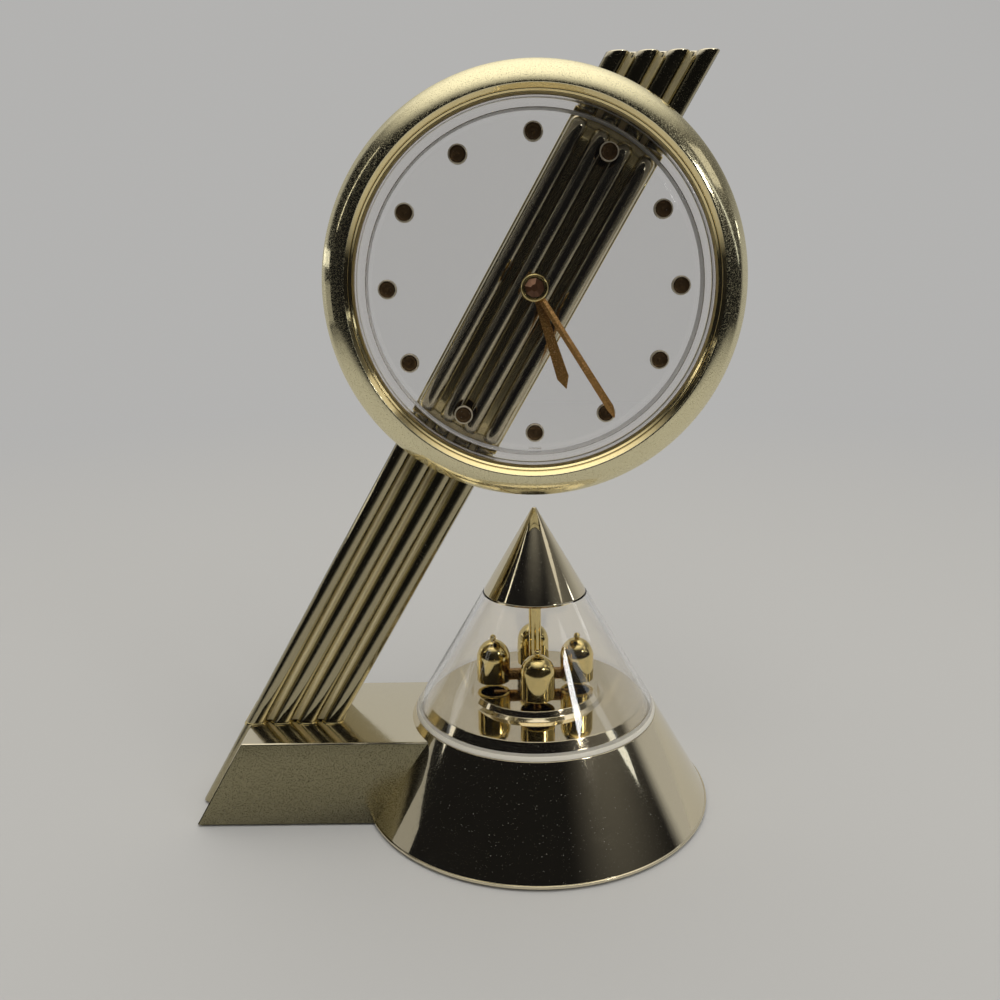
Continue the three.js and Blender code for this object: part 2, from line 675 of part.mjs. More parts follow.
function boxShell() {
  const bottom = BASE_Z - OVER;
  const left = (z) => BOX_LEFT_X + (z - BASE_Z) * TAN_LEAN;
  const wallLevel = BOX_WALL / Math.cos(LEAN);
  const ceiling = BOX_TOP_Z - BOX_WALL;
  const outer = shapeOf([
    [left(BASE_Z), BASE_Z],
    [0, BASE_Z],
    [0, BOX_TOP_Z],
    [left(BOX_TOP_Z), BOX_TOP_Z],
  ]);
  const inner = shapeOf([
    [left(bottom) + wallLevel, bottom],
    [OVER, bottom],
    [OVER, ceiling],
    [left(ceiling) + wallLevel, ceiling],
  ]);
  const innerHalf = BOX_HALF_DEPTH - BOX_WALL;
  const lipTop = BASE_Z + CONE_LIP + GAP;
  const conePlay = GAP * Math.hypot(1, TAN_CONE);
  const coneRoom = turnedUp(
    [
      [0, bottom],
      [CONE_BOTTOM_R + GAP, bottom],
      [CONE_BOTTOM_R + GAP, lipTop],
      [coneR(lipTop) + conePlay, lipTop],
      [coneR(BOX_TOP_Z + OVER) + conePlay, BOX_TOP_Z + OVER],
      [0, BOX_TOP_Z + OVER],
    ],
    ROUND_LARGE,
  );
  const shell = cut(
    slab(outer, -BOX_HALF_DEPTH, BOX_HALF_DEPTH),
    slab(inner, -innerHalf, innerHalf),
    coneRoom,
    postEnvelope(GAP),
  );
  return joined(shell, screwBoss(SCREW_PLACES[2], ceiling + BOX_WALL / 2));
}

function basePlate() {
  const innerHalf = BOX_HALF_DEPTH - BOX_WALL - GAP;
  const leftX = BOX_LEFT_X + PLATE_T * TAN_LEAN + BOX_WALL / Math.cos(LEAN) + GAP;
  const round = cylinderUp(coneR(PLATE_TOP_Z) - CONE_WALL - GAP, BASE_Z, PLATE_TOP_Z, ROUND_LARGE);
  const strip = block(leftX, 0, -innerHalf, innerHalf, BASE_Z, PLATE_TOP_Z);
  const bayX = BAY_HALF_X + BAY_WALL;
  const bayY = BAY_HALF_Y + BAY_WALL;
  const bay = block(CELL_X - bayX, CELL_X + bayX, -bayY, bayY, BASE_Z, PLATE_TOP_Z + BAY_HEIGHT);
  const bayRoom = block(CELL_X - BAY_HALF_X, CELL_X + BAY_HALF_X, -BAY_HALF_Y, BAY_HALF_Y, 0, BOX_TOP_Z);
  const holes = SCREW_PLACES.flatMap(([x, y]) => [
    cylinderUp(SCREW_SHANK_R + GAP, 0, PLATE_TOP_Z + OVER, ROUND_TINY).translate(x, y, 0),
    cylinderUp(SCREW_HEAD_R + GAP, 0, BASE_Z + SCREW_HEAD_T + GAP, ROUND_TINY).translate(x, y, 0),
  ]);
  return cut(joined(round, strip, bay), bayRoom, postEnvelope(GAP), ...holes);
}

function batteryDoor() {
  const x = BAY_HALF_X - GAP;
  const y = BAY_HALF_Y - GAP;
  const plate = block(CELL_X - x, CELL_X + x, -y, y, BASE_Z, PLATE_TOP_Z);
  const slot = block(-GRIP_HALF, GRIP_HALF, -GRIP_WIDTH / 2, GRIP_WIDTH / 2, 0, BASE_Z + GRIP_DEPTH);
  const grip = [-1, 0, 1].map((i) => slot.clone().translate(CELL_X, y - GRIP_INSET + i * GRIP_PITCH, 0));
  return cut(plate, ...grip);
}

function batteryCell() {
  const front = -BAY_LENGTH / 2 + SPRING_LENGTH + GAP;
  const end = front + CELL_LENGTH;
  return turned(
    [
      [0, front],
      [CELL_R - CELL_EDGE, front],
      [CELL_R, front + CELL_EDGE],
      [CELL_R, end - CELL_NUB - CELL_EDGE],
      [CELL_R - CELL_EDGE, end - CELL_NUB],
      [CELL_NUB_R, end - CELL_NUB],
      [CELL_NUB_R, end],
      [0, end],
    ],
    ROUND_CELL,
  ).translate(CELL_X, 0, CELL_Z);
}

function batterySpring() {
  const front = -BAY_LENGTH / 2;
  return turned(
    [
      [0, front],
      [SPRING_R, front],
      [SPRING_TOP_R, front + SPRING_LENGTH],
      [0, front + SPRING_LENGTH],
    ],
    ROUND_TINY,
  ).translate(CELL_X, 0, CELL_Z);
}

function batteryContact() {
  const half = CONTACT_SIDE / 2;
  const back = BAY_LENGTH / 2;
  return block(CELL_X - half, CELL_X + half, back - CONTACT_T, back, CELL_Z - half, CELL_Z + half);
}

function driveBoard() {
  const half = BOARD_WIDTH / 2;
  return block(-BOARD_HALF, BOARD_HALF, -half, half, BOARD_Z, BOARD_TOP_Z);
}

function driveCoil() {
  const bottom = BOARD_TOP_Z + GAP;
  const top = DISC_Z - DECK_T - GAP;
  return turnedUp(
    [
      [COIL_BORE_R, bottom],
      [COIL_R, bottom],
      [COIL_R, top],
      [COIL_BORE_R, top],
    ],
    ROUND_MEDIUM,
  );
}

function plateScrew([x, y]) {
  const bottom = BASE_Z;
  const head = bottom + SCREW_HEAD_T;
  return turnedUp(
    [
      [0, bottom],
      [SCREW_HEAD_R, bottom],
      [SCREW_HEAD_R, head],
      [SCREW_SHANK_R, head],
      [SCREW_SHANK_R, BASE_Z + SCREW_LENGTH - SCREW_POINT],
      [0, BASE_Z + SCREW_LENGTH],
    ],
    ROUND_TINY,
  ).translate(x, y, 0);
}

function foot([x, y]) {
  return turnedUp(
    [
      [0, 0],
      [FOOT_R - FOOT_TAPER, 0],
      [FOOT_R, FOOT_HEIGHT],
      [0, FOOT_HEIGHT],
    ],
    ROUND_SMALL,
  ).translate(x, y, 0);
}

// Rotary pendulum, made about the cone's axis
function pivotNeedle() {
  const bottom = BOARD_TOP_Z + GAP;
  const tip = TUBE_TOP_Z - TUBE_CAP_T - GAP;
  return turnedUp(
    [
      [0, bottom],
      [NEEDLE_FOOT_R, bottom],
      [NEEDLE_FOOT_R, bottom + NEEDLE_FOOT_T],
      [NEEDLE_R, bottom + NEEDLE_FOOT_T],
      [NEEDLE_R, tip - NEEDLE_POINT],
      [0, tip],
    ],
    ROUND_TINY,
  );
}

function pendulumTube() {
  const bottom = DISC_Z + 2 * RUN;
  return turnedUp(
    [
      [0, TUBE_TOP_Z],
      [TUBE_R - TUBE_EDGE, TUBE_TOP_Z],
      [TUBE_R, TUBE_TOP_Z - TUBE_EDGE],
      [TUBE_R, bottom],
      [TUBE_BORE_R, bottom],
      [TUBE_BORE_R, TUBE_TOP_Z - TUBE_CAP_T],
      [0, TUBE_TOP_Z - TUBE_CAP_T],
    ],
    ROUND_SMALL,
  );
}

function pendulumHub() {
  const bottom = WEIGHT_BOTTOM_Z;
  const top = bottom + ARM_HEIGHT;
  const padR = WEIGHT_R - WEIGHT_WALL - GAP;
  const half = ARM_WIDTH / 2;
  const reach = WEIGHT_REACH;
  const pads = [
    [reach, 0],
    [-reach, 0],
    [0, reach],
    [0, -reach],
  ].map(([x, y]) => cylinderUp(padR, bottom, top, ROUND_SMALL).translate(x, y, 0));
  const body = joined(
    cylinderUp(HUB_R, bottom, top, ROUND_SMALL),
    block(-reach, reach, -half, half, bottom, top),
    block(-half, half, -reach, reach, bottom, top),
    ...pads,
  );
  return cut(body, cylinderUp(TUBE_R + GAP, bottom - OVER, top + OVER, ROUND_SMALL));
}

function pendulumMagnet() {
  const top = WEIGHT_BOTTOM_Z - GAP;
  return turnedUp(
    [
      [TUBE_R + GAP, top - MAGNET_T],
      [MAGNET_R, top - MAGNET_T],
      [MAGNET_R, top],
      [TUBE_R + GAP, top],
    ],
    ROUND_MEDIUM,
  );
}

// A bullet-shaped weight on its own axis, open below, with a slot towards -X for the arm.
function weight() {
  const domeTop = WEIGHT_SHOULDER_Z + WEIGHT_R;
  const finialZ = domeTop + FINIAL_NECK + FINIAL_R;
  const ceiling = WEIGHT_BOTTOM_Z + WEIGHT_HOLLOW;
  const hollowR = WEIGHT_R - WEIGHT_WALL;
  const neckAngle = THREE.MathUtils.radToDeg(Math.acos(FINIAL_NECK_R / WEIGHT_R));
  const body = turnedUp(
    [
      [0, ceiling],
      [hollowR, ceiling],
      [hollowR, WEIGHT_BOTTOM_Z],
      [WEIGHT_R, WEIGHT_BOTTOM_Z],
      ...arc(0, WEIGHT_SHOULDER_Z, WEIGHT_R, WEIGHT_R, 0, neckAngle, 5),
      ...arc(0, finialZ, FINIAL_R, FINIAL_R, -FINIAL_SPAN, FINIAL_SPAN, 3),
      [0, finialZ + FINIAL_R],
    ],
    ROUND_SMALL,
  );
  const half = ARM_WIDTH / 2 + GAP;
  const slotTop = WEIGHT_BOTTOM_Z + ARM_HEIGHT + GAP;
  return cut(body, block(-WEIGHT_R - OVER, -hollowR + OVER, -half, half, WEIGHT_BOTTOM_Z - OVER, slotTop));
}

function pendulum() {
  const group = new THREE.Group();
  group.rotation.z = PENDULUM_TURN;
  group.add(piece("pendulum_tube", pendulumTube(), "gold"));
  group.add(piece("pendulum_hub", pendulumHub(), "bronze"));
  group.add(piece("pendulum_magnet", pendulumMagnet(), "steel"));
  ["right", "rear", "left", "front"].forEach((side, i) => {
    const carrier = new THREE.Group();
    carrier.rotation.z = (i * Math.PI) / 2;
    const bob = piece("weight_" + side, weight(), "gold");
    bob.position.x = WEIGHT_REACH;
    carrier.add(bob);
    group.add(carrier);
  });
  return group;
}

// Ring head, made about the dial's axis
function bezelRing() {
  const back = SPLIT_Y;
  const seat = FLANGE_FRONT_Y - GAP;
  const bandEdgeY = LIP_Y - LIP_STEP + BAND_EDGE;
  const flank = RING_R - CREST_R;
  const rise = back - CREST_Y;
  return turned(
    [
      ...arc(CREST_R, back, flank, rise, 0, -90, 6),
      ...arc(CREST_R, bandEdgeY, CREST_R - BAND_IN_R, bandEdgeY - CREST_Y, -110, -180, 4),
      [BAND_IN_R, LIP_Y],
      [LIP_R + LIP_BEVEL, CRYSTAL_INSIDE_Y - LIP_BEVEL_DEPTH],
      [LIP_R, CRYSTAL_INSIDE_Y],
      [LIP_R, seat],
      [FLANGE_R, seat],
      [FLANGE_R, CRYSTAL_INSIDE_Y + RING_WALL],
      [BAND_IN_R + RING_WALL, LIP_Y + RING_WALL],
      ...arc(CREST_R, back, flank - RING_WALL, rise - RING_WALL, -90, 0, 2),
    ],
    ROUND_LARGE,
  );
}

function rearRing() {
  const front = SPLIT_Y + GAP;
  const pocketR = FLANGE_R + GAP;
  const cheekR = pocketR + RING_CHANNEL;
  const inner = RING_R - RING_WALL;
  const cornerY = RING_BACK_Y - RING_CORNER_DEPTH;
  return turned(
    [
      [RING_R, front],
      ...arc(RING_R - RING_CORNER, cornerY, RING_CORNER, RING_CORNER_DEPTH, 0, 90, 4),
      [BRIDGE_CORNER_R + GAP, RING_BACK_Y],
      [BRIDGE_CORNER_R + GAP, DIAL_SEAT_Y],
      [pocketR, DIAL_SEAT_Y],
      [pocketR, front],
      [cheekR, front],
      [cheekR, DIAL_SEAT_Y],
      [inner - RING_CORNER, DIAL_SEAT_Y],
      [inner, cornerY],
      [inner, front],
    ],
    ROUND_LARGE,
  );
}

function crystal() {
  const tabTop = -SIGHT_R + TAB_REACH;
  const tab = block(-TAB_HALF, TAB_HALF, CRYSTAL_BACK_Y - TAB_DEPTH, CRYSTAL_BACK_Y, -SIGHT_R - OVER, tabTop);
  const dish = turned(
    [
      [0, CRYSTAL_FRONT_Y],
      [CRYSTAL_R - CRYSTAL_EDGE, CRYSTAL_FRONT_Y],
      [CRYSTAL_R, CRYSTAL_FRONT_Y + CRYSTAL_EDGE],
      [CRYSTAL_R, FLANGE_FRONT_Y],
      [FLANGE_R, FLANGE_FRONT_Y],
      [FLANGE_R, CRYSTAL_BACK_Y],
      [SIGHT_R, CRYSTAL_BACK_Y],
      [SIGHT_R, CRYSTAL_INSIDE_Y],
      [0, CRYSTAL_INSIDE_Y],
    ],
    ROUND_LARGE,
  );
  return joined(dish, tab);
}

// The dial's centre to marker i, as an angle clockwise from the top.
function markerAngle(i) {
  return (2 * Math.PI * i) / MARKER_COUNT;
}

function dialPlate() {
  const shape = circleShape(FLANGE_R, ROUND_LARGE);
  for (let i = 0; i < MARKER_COUNT; i++) {
    const a = markerAngle(i);
    const x = MARKER_CIRCLE_R * Math.sin(a);
    const z = MARKER_CIRCLE_R * Math.cos(a);
    shape.holes.push(circlePath(x, z, MARKER_PIN_R + GAP, ROUND_MARKER));
  }
  shape.holes.push(circlePath(0, 0, NOSE_R + GAP, ROUND_SMALL));
  return slab(shape, DIAL_FRONT_Y, DIAL_BACK_Y);
}

function hourMarker() {
  const base = DIAL_FRONT_Y - GAP;
  const rim = base - MARKER_HEIGHT;
  return turned(
    [
      [0, DIAL_BACK_Y],
      [MARKER_PIN_R, DIAL_BACK_Y],
      [MARKER_PIN_R, base],
      [MARKER_R, base],
      [MARKER_R, rim + MARKER_EDGE],
      [MARKER_R - MARKER_EDGE, rim],
      [MARKER_DISH_R, rim],
      [MARKER_DISH_R - MARKER_DISH_SLOPE, rim + MARKER_DISH],
      [0, rim + MARKER_DISH - MARKER_PIP],
    ],
    ROUND_MARKER,
  );
}

// A flat hand that points up, from stations of [distance, half width, side shift, height of the middle crease].
function creasedBlade(stations, backY) {
  const frontY = backY - HAND_T;
  const ring = stations.map(([s, half, shift, crease]) => [
    [shift - half, backY, s],
    [shift + half, backY, s],
    [shift + half, frontY, s],
    [shift, frontY - crease, s],
    [shift - half, frontY, s],
  ]);
  const around = ring[0].length;
  const positions = ring.flat(2);
  const index = [];
  for (let i = 0; i + 1 < ring.length; i++) {
    for (let j = 0; j < around; j++) {
      const a = i * around + j;
      const b = i * around + ((j + 1) % around);
      index.push(a, b + around, b, a, a + around, b + around);
    }
  }
  const last = (ring.length - 1) * around;
  for (let j = 1; j + 1 < around; j++) {
    index.push(0, j, j + 1, last, last + j + 1, last + j);
  }
  const geometry = new THREE.BufferGeometry();
  geometry.setAttribute("position", new THREE.Float32BufferAttribute(positions, 3));
  geometry.setIndex(index);
  return geometry.toNonIndexed();
}

function hand(stations, backY, boreR) {
  const hubRing = cylinderBack(HUB_RING_R, backY - HAND_T, backY, ROUND_MEDIUM);
  const bore = cylinderBack(boreR, backY - HAND_T - HAND_CREASE - OVER, backY + OVER, ROUND_SMALL);
  return cut(joined(creasedBlade(stations, backY), hubRing), bore);
}

function hourHand() {
  const stations = [
    [PIPE_R, HOUR_HALF, 0, HAND_FLAT],
    [CAP_R + GAP, HOUR_HALF, 0, HAND_CREASE],
    [HOUR_LENGTH - HOUR_POINT, HOUR_SHOULDER_HALF, 0, HAND_CREASE],
    [HOUR_LENGTH, HOUR_TIP_HALF, 0, HAND_TIP_CREASE],
  ];
  return hand(stations, HOUR_HAND_Y, PIPE_R + GAP);
}

function minuteHand() {
  const stations = [
    [ARBOR_R, MINUTE_HALF, 0, HAND_FLAT],
    [CAP_R, MINUTE_HALF, 0, HAND_FLAT],
    [CAP_R + HAND_CREASE, MINUTE_HALF, 0, HAND_CREASE],
    [MINUTE_LENGTH - MINUTE_POINT, MINUTE_SHOULDER_HALF, 0, HAND_CREASE],
    [MINUTE_LENGTH, MINUTE_TIP_HALF, MINUTE_TIP_SHIFT, HAND_TIP_CREASE],
  ];
  return hand(stations, MINUTE_HAND_Y, ARBOR_R + GAP);
}

function handBoss() {
  const dishR = JEWEL_R + GAP;
  return turned(
    [
      [0, CAP_Y],
      [CAP_R, CAP_Y],
      ...arc(CAP_R - CAP_ROUND, CAP_FRONT_Y + CAP_ROUND, CAP_ROUND, CAP_ROUND, 0, -120, 4),
      [dishR, CAP_FRONT_Y + CAP_DISH],
      [dishR, CAP_FRONT_Y + JEWEL_SEAT],
      [0, CAP_FRONT_Y + JEWEL_SEAT],
    ],
    ROUND_SMALL,
  );
}

function bossJewel() {
  const back = CAP_FRONT_Y + JEWEL_SEAT - GAP;
  return turned(
    [
      [0, back],
      [JEWEL_R, back],
      [JEWEL_R, CAP_FRONT_Y + JEWEL_GIRDLE],
      [0, CAP_FRONT_Y + JEWEL_SINK],
    ],
    JEWEL_FACETS,
  );
}

// Outline of a toothed wheel in X and Z, with one tooth centred at the angle phase in degrees.
function toothedShape(teeth, module, phase) {
  const pitchR = (teeth * module) / 2;
  const baseR = pitchR * Math.cos(PRESSURE_ANGLE);
  const tipR = pitchR + TOOTH_TIP * module;
  const rootR = pitchR - TOOTH_ROOT * module;
  const roll = (r) => {
    const k = Math.max(1, r / baseR);
    return Math.sqrt(k * k - 1) - Math.acos(1 / k);
  };
  const half = (TOOTH_SHARE * Math.PI) / teeth;
  const points = [];
  for (let i = 0; i < teeth; i++) {
    const middle = (2 * Math.PI * i) / teeth + THREE.MathUtils.degToRad(phase);
    const flank = [rootR, tipR].map((r) => [r, half + roll(pitchR) - roll(r)]);
    flank.forEach(([r, a]) => points.push([r * Math.cos(middle - a), r * Math.sin(middle - a)]));
    flank.reverse().forEach(([r, a]) => points.push([r * Math.cos(middle + a), r * Math.sin(middle + a)]));
  }
  return shapeOf(points);
}

function toothed(teeth, module, phase, yBack) {
  return slab(toothedShape(teeth, module, phase), yBack - GEAR_T, yBack);
}

// Movement, made on the post's own axis with the dial's centre as origin
function movementCase() {
  const backY = COVER_INSIDE_Y - GAP;
  const half = CASE_HALF_WIDTH;
  const inner = half - CASE_WALL;
  const shell = cut(
    block(-half, half, CASE_FRONT_Y, backY, -CASE_DOWN, CASE_UP),
    block(-inner, inner, CASE_INSIDE_Y, backY + OVER, -CASE_DOWN + CASE_WALL, CASE_UP - CASE_WALL),
  );
  const nose = cylinderBack(NOSE_R, NOSE_END_Y, CASE_INSIDE_Y, ROUND_SMALL);
  const stud = cylinderBack(STAFF_R, CASE_FRONT_Y + CASE_WALL / 2, MOTION_LEVEL_Y + OVER, ROUND_TINY);
  const bore = cylinderBack(NOSE_R - NOSE_WALL, NOSE_END_Y - OVER, CASE_INSIDE_Y + OVER, ROUND_SMALL);
  return cut(joined(shell, nose, stud.translate(0, 0, -MOTION_CENTRES)), bore);
}

function movementCover() {
  const half = CASE_HALF_WIDTH;
  const inLid = CASE_BACK_Y - CASE_WALL / 2;
  const lid = block(-half, half, COVER_INSIDE_Y, CASE_BACK_Y, -CASE_DOWN, CASE_UP);
  const setBush = cylinderBack(SET_SHAFT_R + RUN + BUSH_WALL, CASE_BACK_Y - BUSH_LENGTH, inLid, ROUND_SMALL);
  const arborBush = cylinderBack(ARBOR_R + RUN + BUSH_WALL, MOTION_LEVEL_Y + BUSH_CLEAR, inLid, ROUND_SMALL);
  const setBore = cylinderBack(SET_SHAFT_R + RUN, MOTION_LEVEL_Y, CASE_BACK_Y + OVER, ROUND_SMALL);
  const arborBore = cylinderBack(ARBOR_R + RUN, MOTION_LEVEL_Y, COVER_INSIDE_Y, ROUND_SMALL);
  return cut(
    joined(lid, setBush.translate(0, 0, -SET_DOWN), arborBush),
    setBore.translate(0, 0, -SET_DOWN),
    arborBore,
  );
}

function minuteArbor() {
  const shaft = cylinderBack(ARBOR_R, MINUTE_HAND_Y - HAND_T, COVER_INSIDE_Y - RUN, ROUND_SMALL);
  return joined(shaft, toothed(CANNON_TEETH, MOTION_MODULE, -90, MOTION_LEVEL_Y));
}

function minuteWheel() {
  const wheel = toothed(MINUTE_TEETH, MOTION_MODULE, 90 + 180 / MINUTE_TEETH, MOTION_LEVEL_Y);
  const pinionShape = toothedShape(PINION_TEETH, HOUR_MODULE, 90);
  const pinion = slab(pinionShape, HOUR_LEVEL_Y - GEAR_T, MOTION_LEVEL_Y - GEAR_T / 2);
  const bore = cylinderBack(STAFF_R + GAP, CASE_FRONT_Y, MOTION_LEVEL_Y + OVER, ROUND_TINY);
  return cut(joined(wheel, pinion), bore);
}

function hourWheel() {
  const wheel = toothed(HOUR_TEETH, HOUR_MODULE, -90 + 180 / HOUR_TEETH, HOUR_LEVEL_Y);
  const pipe = cylinderBack(PIPE_R, HOUR_HAND_Y - HAND_T, HOUR_LEVEL_Y - GEAR_T / 2, ROUND_SMALL);
  const bore = cylinderBack(ARBOR_R + GAP, HOUR_HAND_Y - HAND_T - OVER, HOUR_LEVEL_Y + OVER, ROUND_SMALL);
  return cut(joined(wheel, pipe), bore);
}

function setShaft() {
  const gear = toothed(SET_TEETH, MOTION_MODULE, 90, MOTION_LEVEL_Y);
  const shaft = cylinderBack(SET_SHAFT_R, CASE_INSIDE_Y + RUN, POST_BACK_Y + SET_SHAFT_OUT, ROUND_SMALL);
  return joined(gear, shaft);
}

function setKnob() {
  const front = POST_BACK_Y + 2 * RUN;
  const back = front + KNOB_T;
  const outline = Array.from({ length: KNOB_FLUTES * 4 }, (_, i) => {
    const r = KNOB_R - (i % 4 < 2 ? 0 : KNOB_FLUTE_DEPTH);
    const a = (2 * Math.PI * i) / (KNOB_FLUTES * 4);
    return [r * Math.cos(a), r * Math.sin(a)];
  });
  const socketEnd = POST_BACK_Y + SET_SHAFT_OUT + GAP;
  const socket = cylinderBack(SET_SHAFT_R + GAP, front - OVER, socketEnd, ROUND_SMALL);
  return cut(slab(shapeOf(outline), front, back), socket);
}

function stepperMotor() {
  const z = (HOUR_TEETH * HOUR_MODULE) / 2 + MOTOR_CLEAR;
  const front = CASE_INSIDE_Y + GAP;
  const back = COVER_INSIDE_Y - GAP;
  const half = CASE_HALF_WIDTH - CASE_WALL - GAP;
  const inside = half - MOTOR_END_T;
  const length = 2 * inside + MOTOR_END_T;
  const winding = new THREE.CylinderGeometry(MOTOR_COIL_R, MOTOR_COIL_R, length, ROUND_SMALL);
  return joined(
    winding.rotateZ(Math.PI / 2).translate(0, (front + back) / 2, z),
    block(-half, -inside, front, back, z - MOTOR_END_HALF, z + MOTOR_END_HALF),
    block(inside, half, front, back, z - MOTOR_END_HALF, z + MOTOR_END_HALF),
  );
}

function movement() {
  const group = new THREE.Group();
  group.add(piece("movement_case", movementCase(), "black"));
  group.add(piece("movement_cover", movementCover(), "black"));
  group.add(piece("minute_arbor", minuteArbor(), "steel"));
  group.add(piece("hour_wheel", hourWheel(), "white"));
  group.add(piece("stepper_motor", stepperMotor(), "copper"));
  const wheel = piece("minute_wheel", minuteWheel(), "white");
  wheel.position.z = -MOTION_CENTRES;
  group.add(wheel);
  const setting = new THREE.Group();
  setting.position.z = -SET_DOWN;
  setting.add(piece("set_shaft", setShaft(), "white"));
  setting.add(piece("set_knob", setKnob(), "black"));
  group.add(setting);
  return group;
}

// The lead runs from the pendulum's board through the doorway into the post, and up to the movement.
function movementLead() {
  const cos = Math.cos(LEAN);
  const sin = Math.sin(LEAN);
  const along = (s, x) => [x * cos + s * sin, 0, RING_Z - x * sin + s * cos];
  const entry = (LEAD_HOLE_Z - RING_Z) * TAN_LEAN;
  const route = [
    [-30, 0, BOARD_Z - GAP],
    [-30, 0, BOARD_Z - 3],
    [-34, 0, 27],
    [-52, 0, LEAD_HOLE_Z + 1],
    [-74, 0, LEAD_HOLE_Z],
    [entry + 27, 0, LEAD_HOLE_Z],
    [entry + 16.5, 0, LEAD_HOLE_Z],
    [entry + 11.5, 0, LEAD_HOLE_Z + 3.5],
    along(-203, 3),
    along(-180, 1),
    along(-120, 0),
    along(-CASE_DOWN - 6, 0),
    along(-CASE_DOWN - GAP, 0),
  ];
  const path = new THREE.CatmullRomCurve3(route.map((p) => new THREE.Vector3(...p)), false, "centripetal");
  return new THREE.ExtrudeGeometry(circleShape(LEAD_R, LEAD_SIDES), {
    extrudePath: path,
    steps: Math.round(path.getLength() / LEAD_STEP),
    bevelEnabled: false,
  });
}

function base() {
  const group = new THREE.Group();
  group.add(piece("base_cone_shell", baseConeShell(), "plate"));
  group.add(piece("mirror_deck", mirrorDeck(), "plate"));
  group.add(piece("clear_cone", clearCone(), "clear"));
  group.add(piece("cone_tip", coneTip(), "plate"));
  group.add(piece("box_shell", boxShell(), "satin"));
  group.add(piece("base_plate", basePlate(), "black"));
  group.add(piece("battery_door", batteryDoor(), "black"));
  group.add(piece("battery_cell", batteryCell(), "cell"));
  group.add(piece("battery_spring", batterySpring(), "steel"));
  group.add(piece("battery_contact", batteryContact(), "steel"));
  group.add(piece("drive_board", driveBoard(), "board"));
  group.add(piece("drive_coil", driveCoil(), "copper"));
  group.add(piece("pivot_needle", pivotNeedle(), "steel"));
  SCREW_PLACES.forEach((place, i) => group.add(piece("plate_screw_" + (i + 1), plateScrew(place), "steel")));
  FOOT_PLACES.forEach((place, i) => group.add(piece("foot_" + (i + 1), foot(place), "rubber")));
  return group;
}

function post() {
  const group = new THREE.Group();
  group.add(piece("post_lower", postLower(), "plate"));
  group.add(piece("post_upper", postUpper(), "plate"));
  group.add(piece("post_back", postBack(), "black"));
  group.add(piece("movement_lead", movementLead(), "black"));
  return group;
}

function head() {
  const group = new THREE.Group();
  group.position.z = RING_Z;
  group.add(piece("bezel_ring", bezelRing(), "plate"));
  group.add(piece("rear_ring", rearRing(), "plate"));
  group.add(piece("crystal", crystal(), "clear"));
  group.add(piece("dial_plate", dialPlate(), "clear"));
  for (let i = 1; i <= MARKER_COUNT; i++) {
    const marker = piece("hour_marker_" + String(i).padStart(2, "0"), hourMarker(), "bronze");
    const a = markerAngle(i);
    marker.position.set(MARKER_CIRCLE_R * Math.sin(a), 0, MARKER_CIRCLE_R * Math.cos(a));
    group.add(marker);
  }
  const hour = piece("hour_hand", hourHand(), "bronze");
  hour.rotation.y = HOUR_ANGLE;
  group.add(hour);
  const minutes = new THREE.Group();
  minutes.rotation.y = MINUTE_ANGLE;
  minutes.add(piece("minute_hand", minuteHand(), "bronze"));
  minutes.add(piece("hand_boss", handBoss(), "gold"));
  minutes.add(piece("boss_jewel", bossJewel(), "jewel"));
  group.add(minutes);
  const leaning = new THREE.Group();
  leaning.rotation.y = LEAN;
  leaning.add(piece("dial_bridge", dialBridge(), "plate"));
  leaning.add(movement());
  group.add(leaning);
  return group;
}

const clock = new THREE.Group();
clock.add(base(), pendulum(), post(), head());
clock.updateMatrixWorld(true);
const extent = new THREE.Box3().setFromObject(clock);
const middle = extent.getCenter(new THREE.Vector3());
clock.position.set(-middle.x, -middle.y, 0);

export default clock;
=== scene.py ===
import math

import bmesh
import bpy
from mathutils import Matrix, Vector


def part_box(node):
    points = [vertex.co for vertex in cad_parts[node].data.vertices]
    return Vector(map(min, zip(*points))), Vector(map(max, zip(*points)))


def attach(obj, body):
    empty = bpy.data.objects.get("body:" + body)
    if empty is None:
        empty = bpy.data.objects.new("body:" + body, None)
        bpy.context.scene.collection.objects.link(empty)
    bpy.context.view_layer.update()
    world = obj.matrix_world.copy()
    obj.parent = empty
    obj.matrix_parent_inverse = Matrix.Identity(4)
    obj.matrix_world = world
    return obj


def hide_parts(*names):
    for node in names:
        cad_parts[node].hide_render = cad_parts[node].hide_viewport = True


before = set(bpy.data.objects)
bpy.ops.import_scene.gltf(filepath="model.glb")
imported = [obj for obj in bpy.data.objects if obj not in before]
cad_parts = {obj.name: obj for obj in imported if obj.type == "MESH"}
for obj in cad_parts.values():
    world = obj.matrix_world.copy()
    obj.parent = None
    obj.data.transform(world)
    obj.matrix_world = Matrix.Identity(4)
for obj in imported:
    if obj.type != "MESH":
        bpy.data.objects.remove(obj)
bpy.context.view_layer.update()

# Sizes in millimetres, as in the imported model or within 2 mm of it
MM = 0.001
LEAN = math.radians(29.9)
BASE_Z = 1.1

# Cone, clear cone, tip and deck
CONE_APEX_Z = 124.42
CONE_BOTTOM_R = 71.2
CONE_WALL = 2.8
LIP_Z = 2.1
LEDGE_Z = 38.75
LEDGE_BACK_Z = 35.8
LEDGE_INNER_R = 40.5
FOOT_Z = 38.85
MILKY_TOP_Z = 40.4
MILKY_WALL = 2.15
CLEAR_FOOT_Z = 40.5
CLEAR_TOP_Z = 88.1
CLEAR_WALL = 2.2
TIP_FOOT_Z = 88.4
TIP_TOP_Z = 123.0
TIP_HOLLOW_Z = 120.2
TIP_WALL = 2.2
DECK_Z = 43.9
DISC_TOP_Z = 47.1

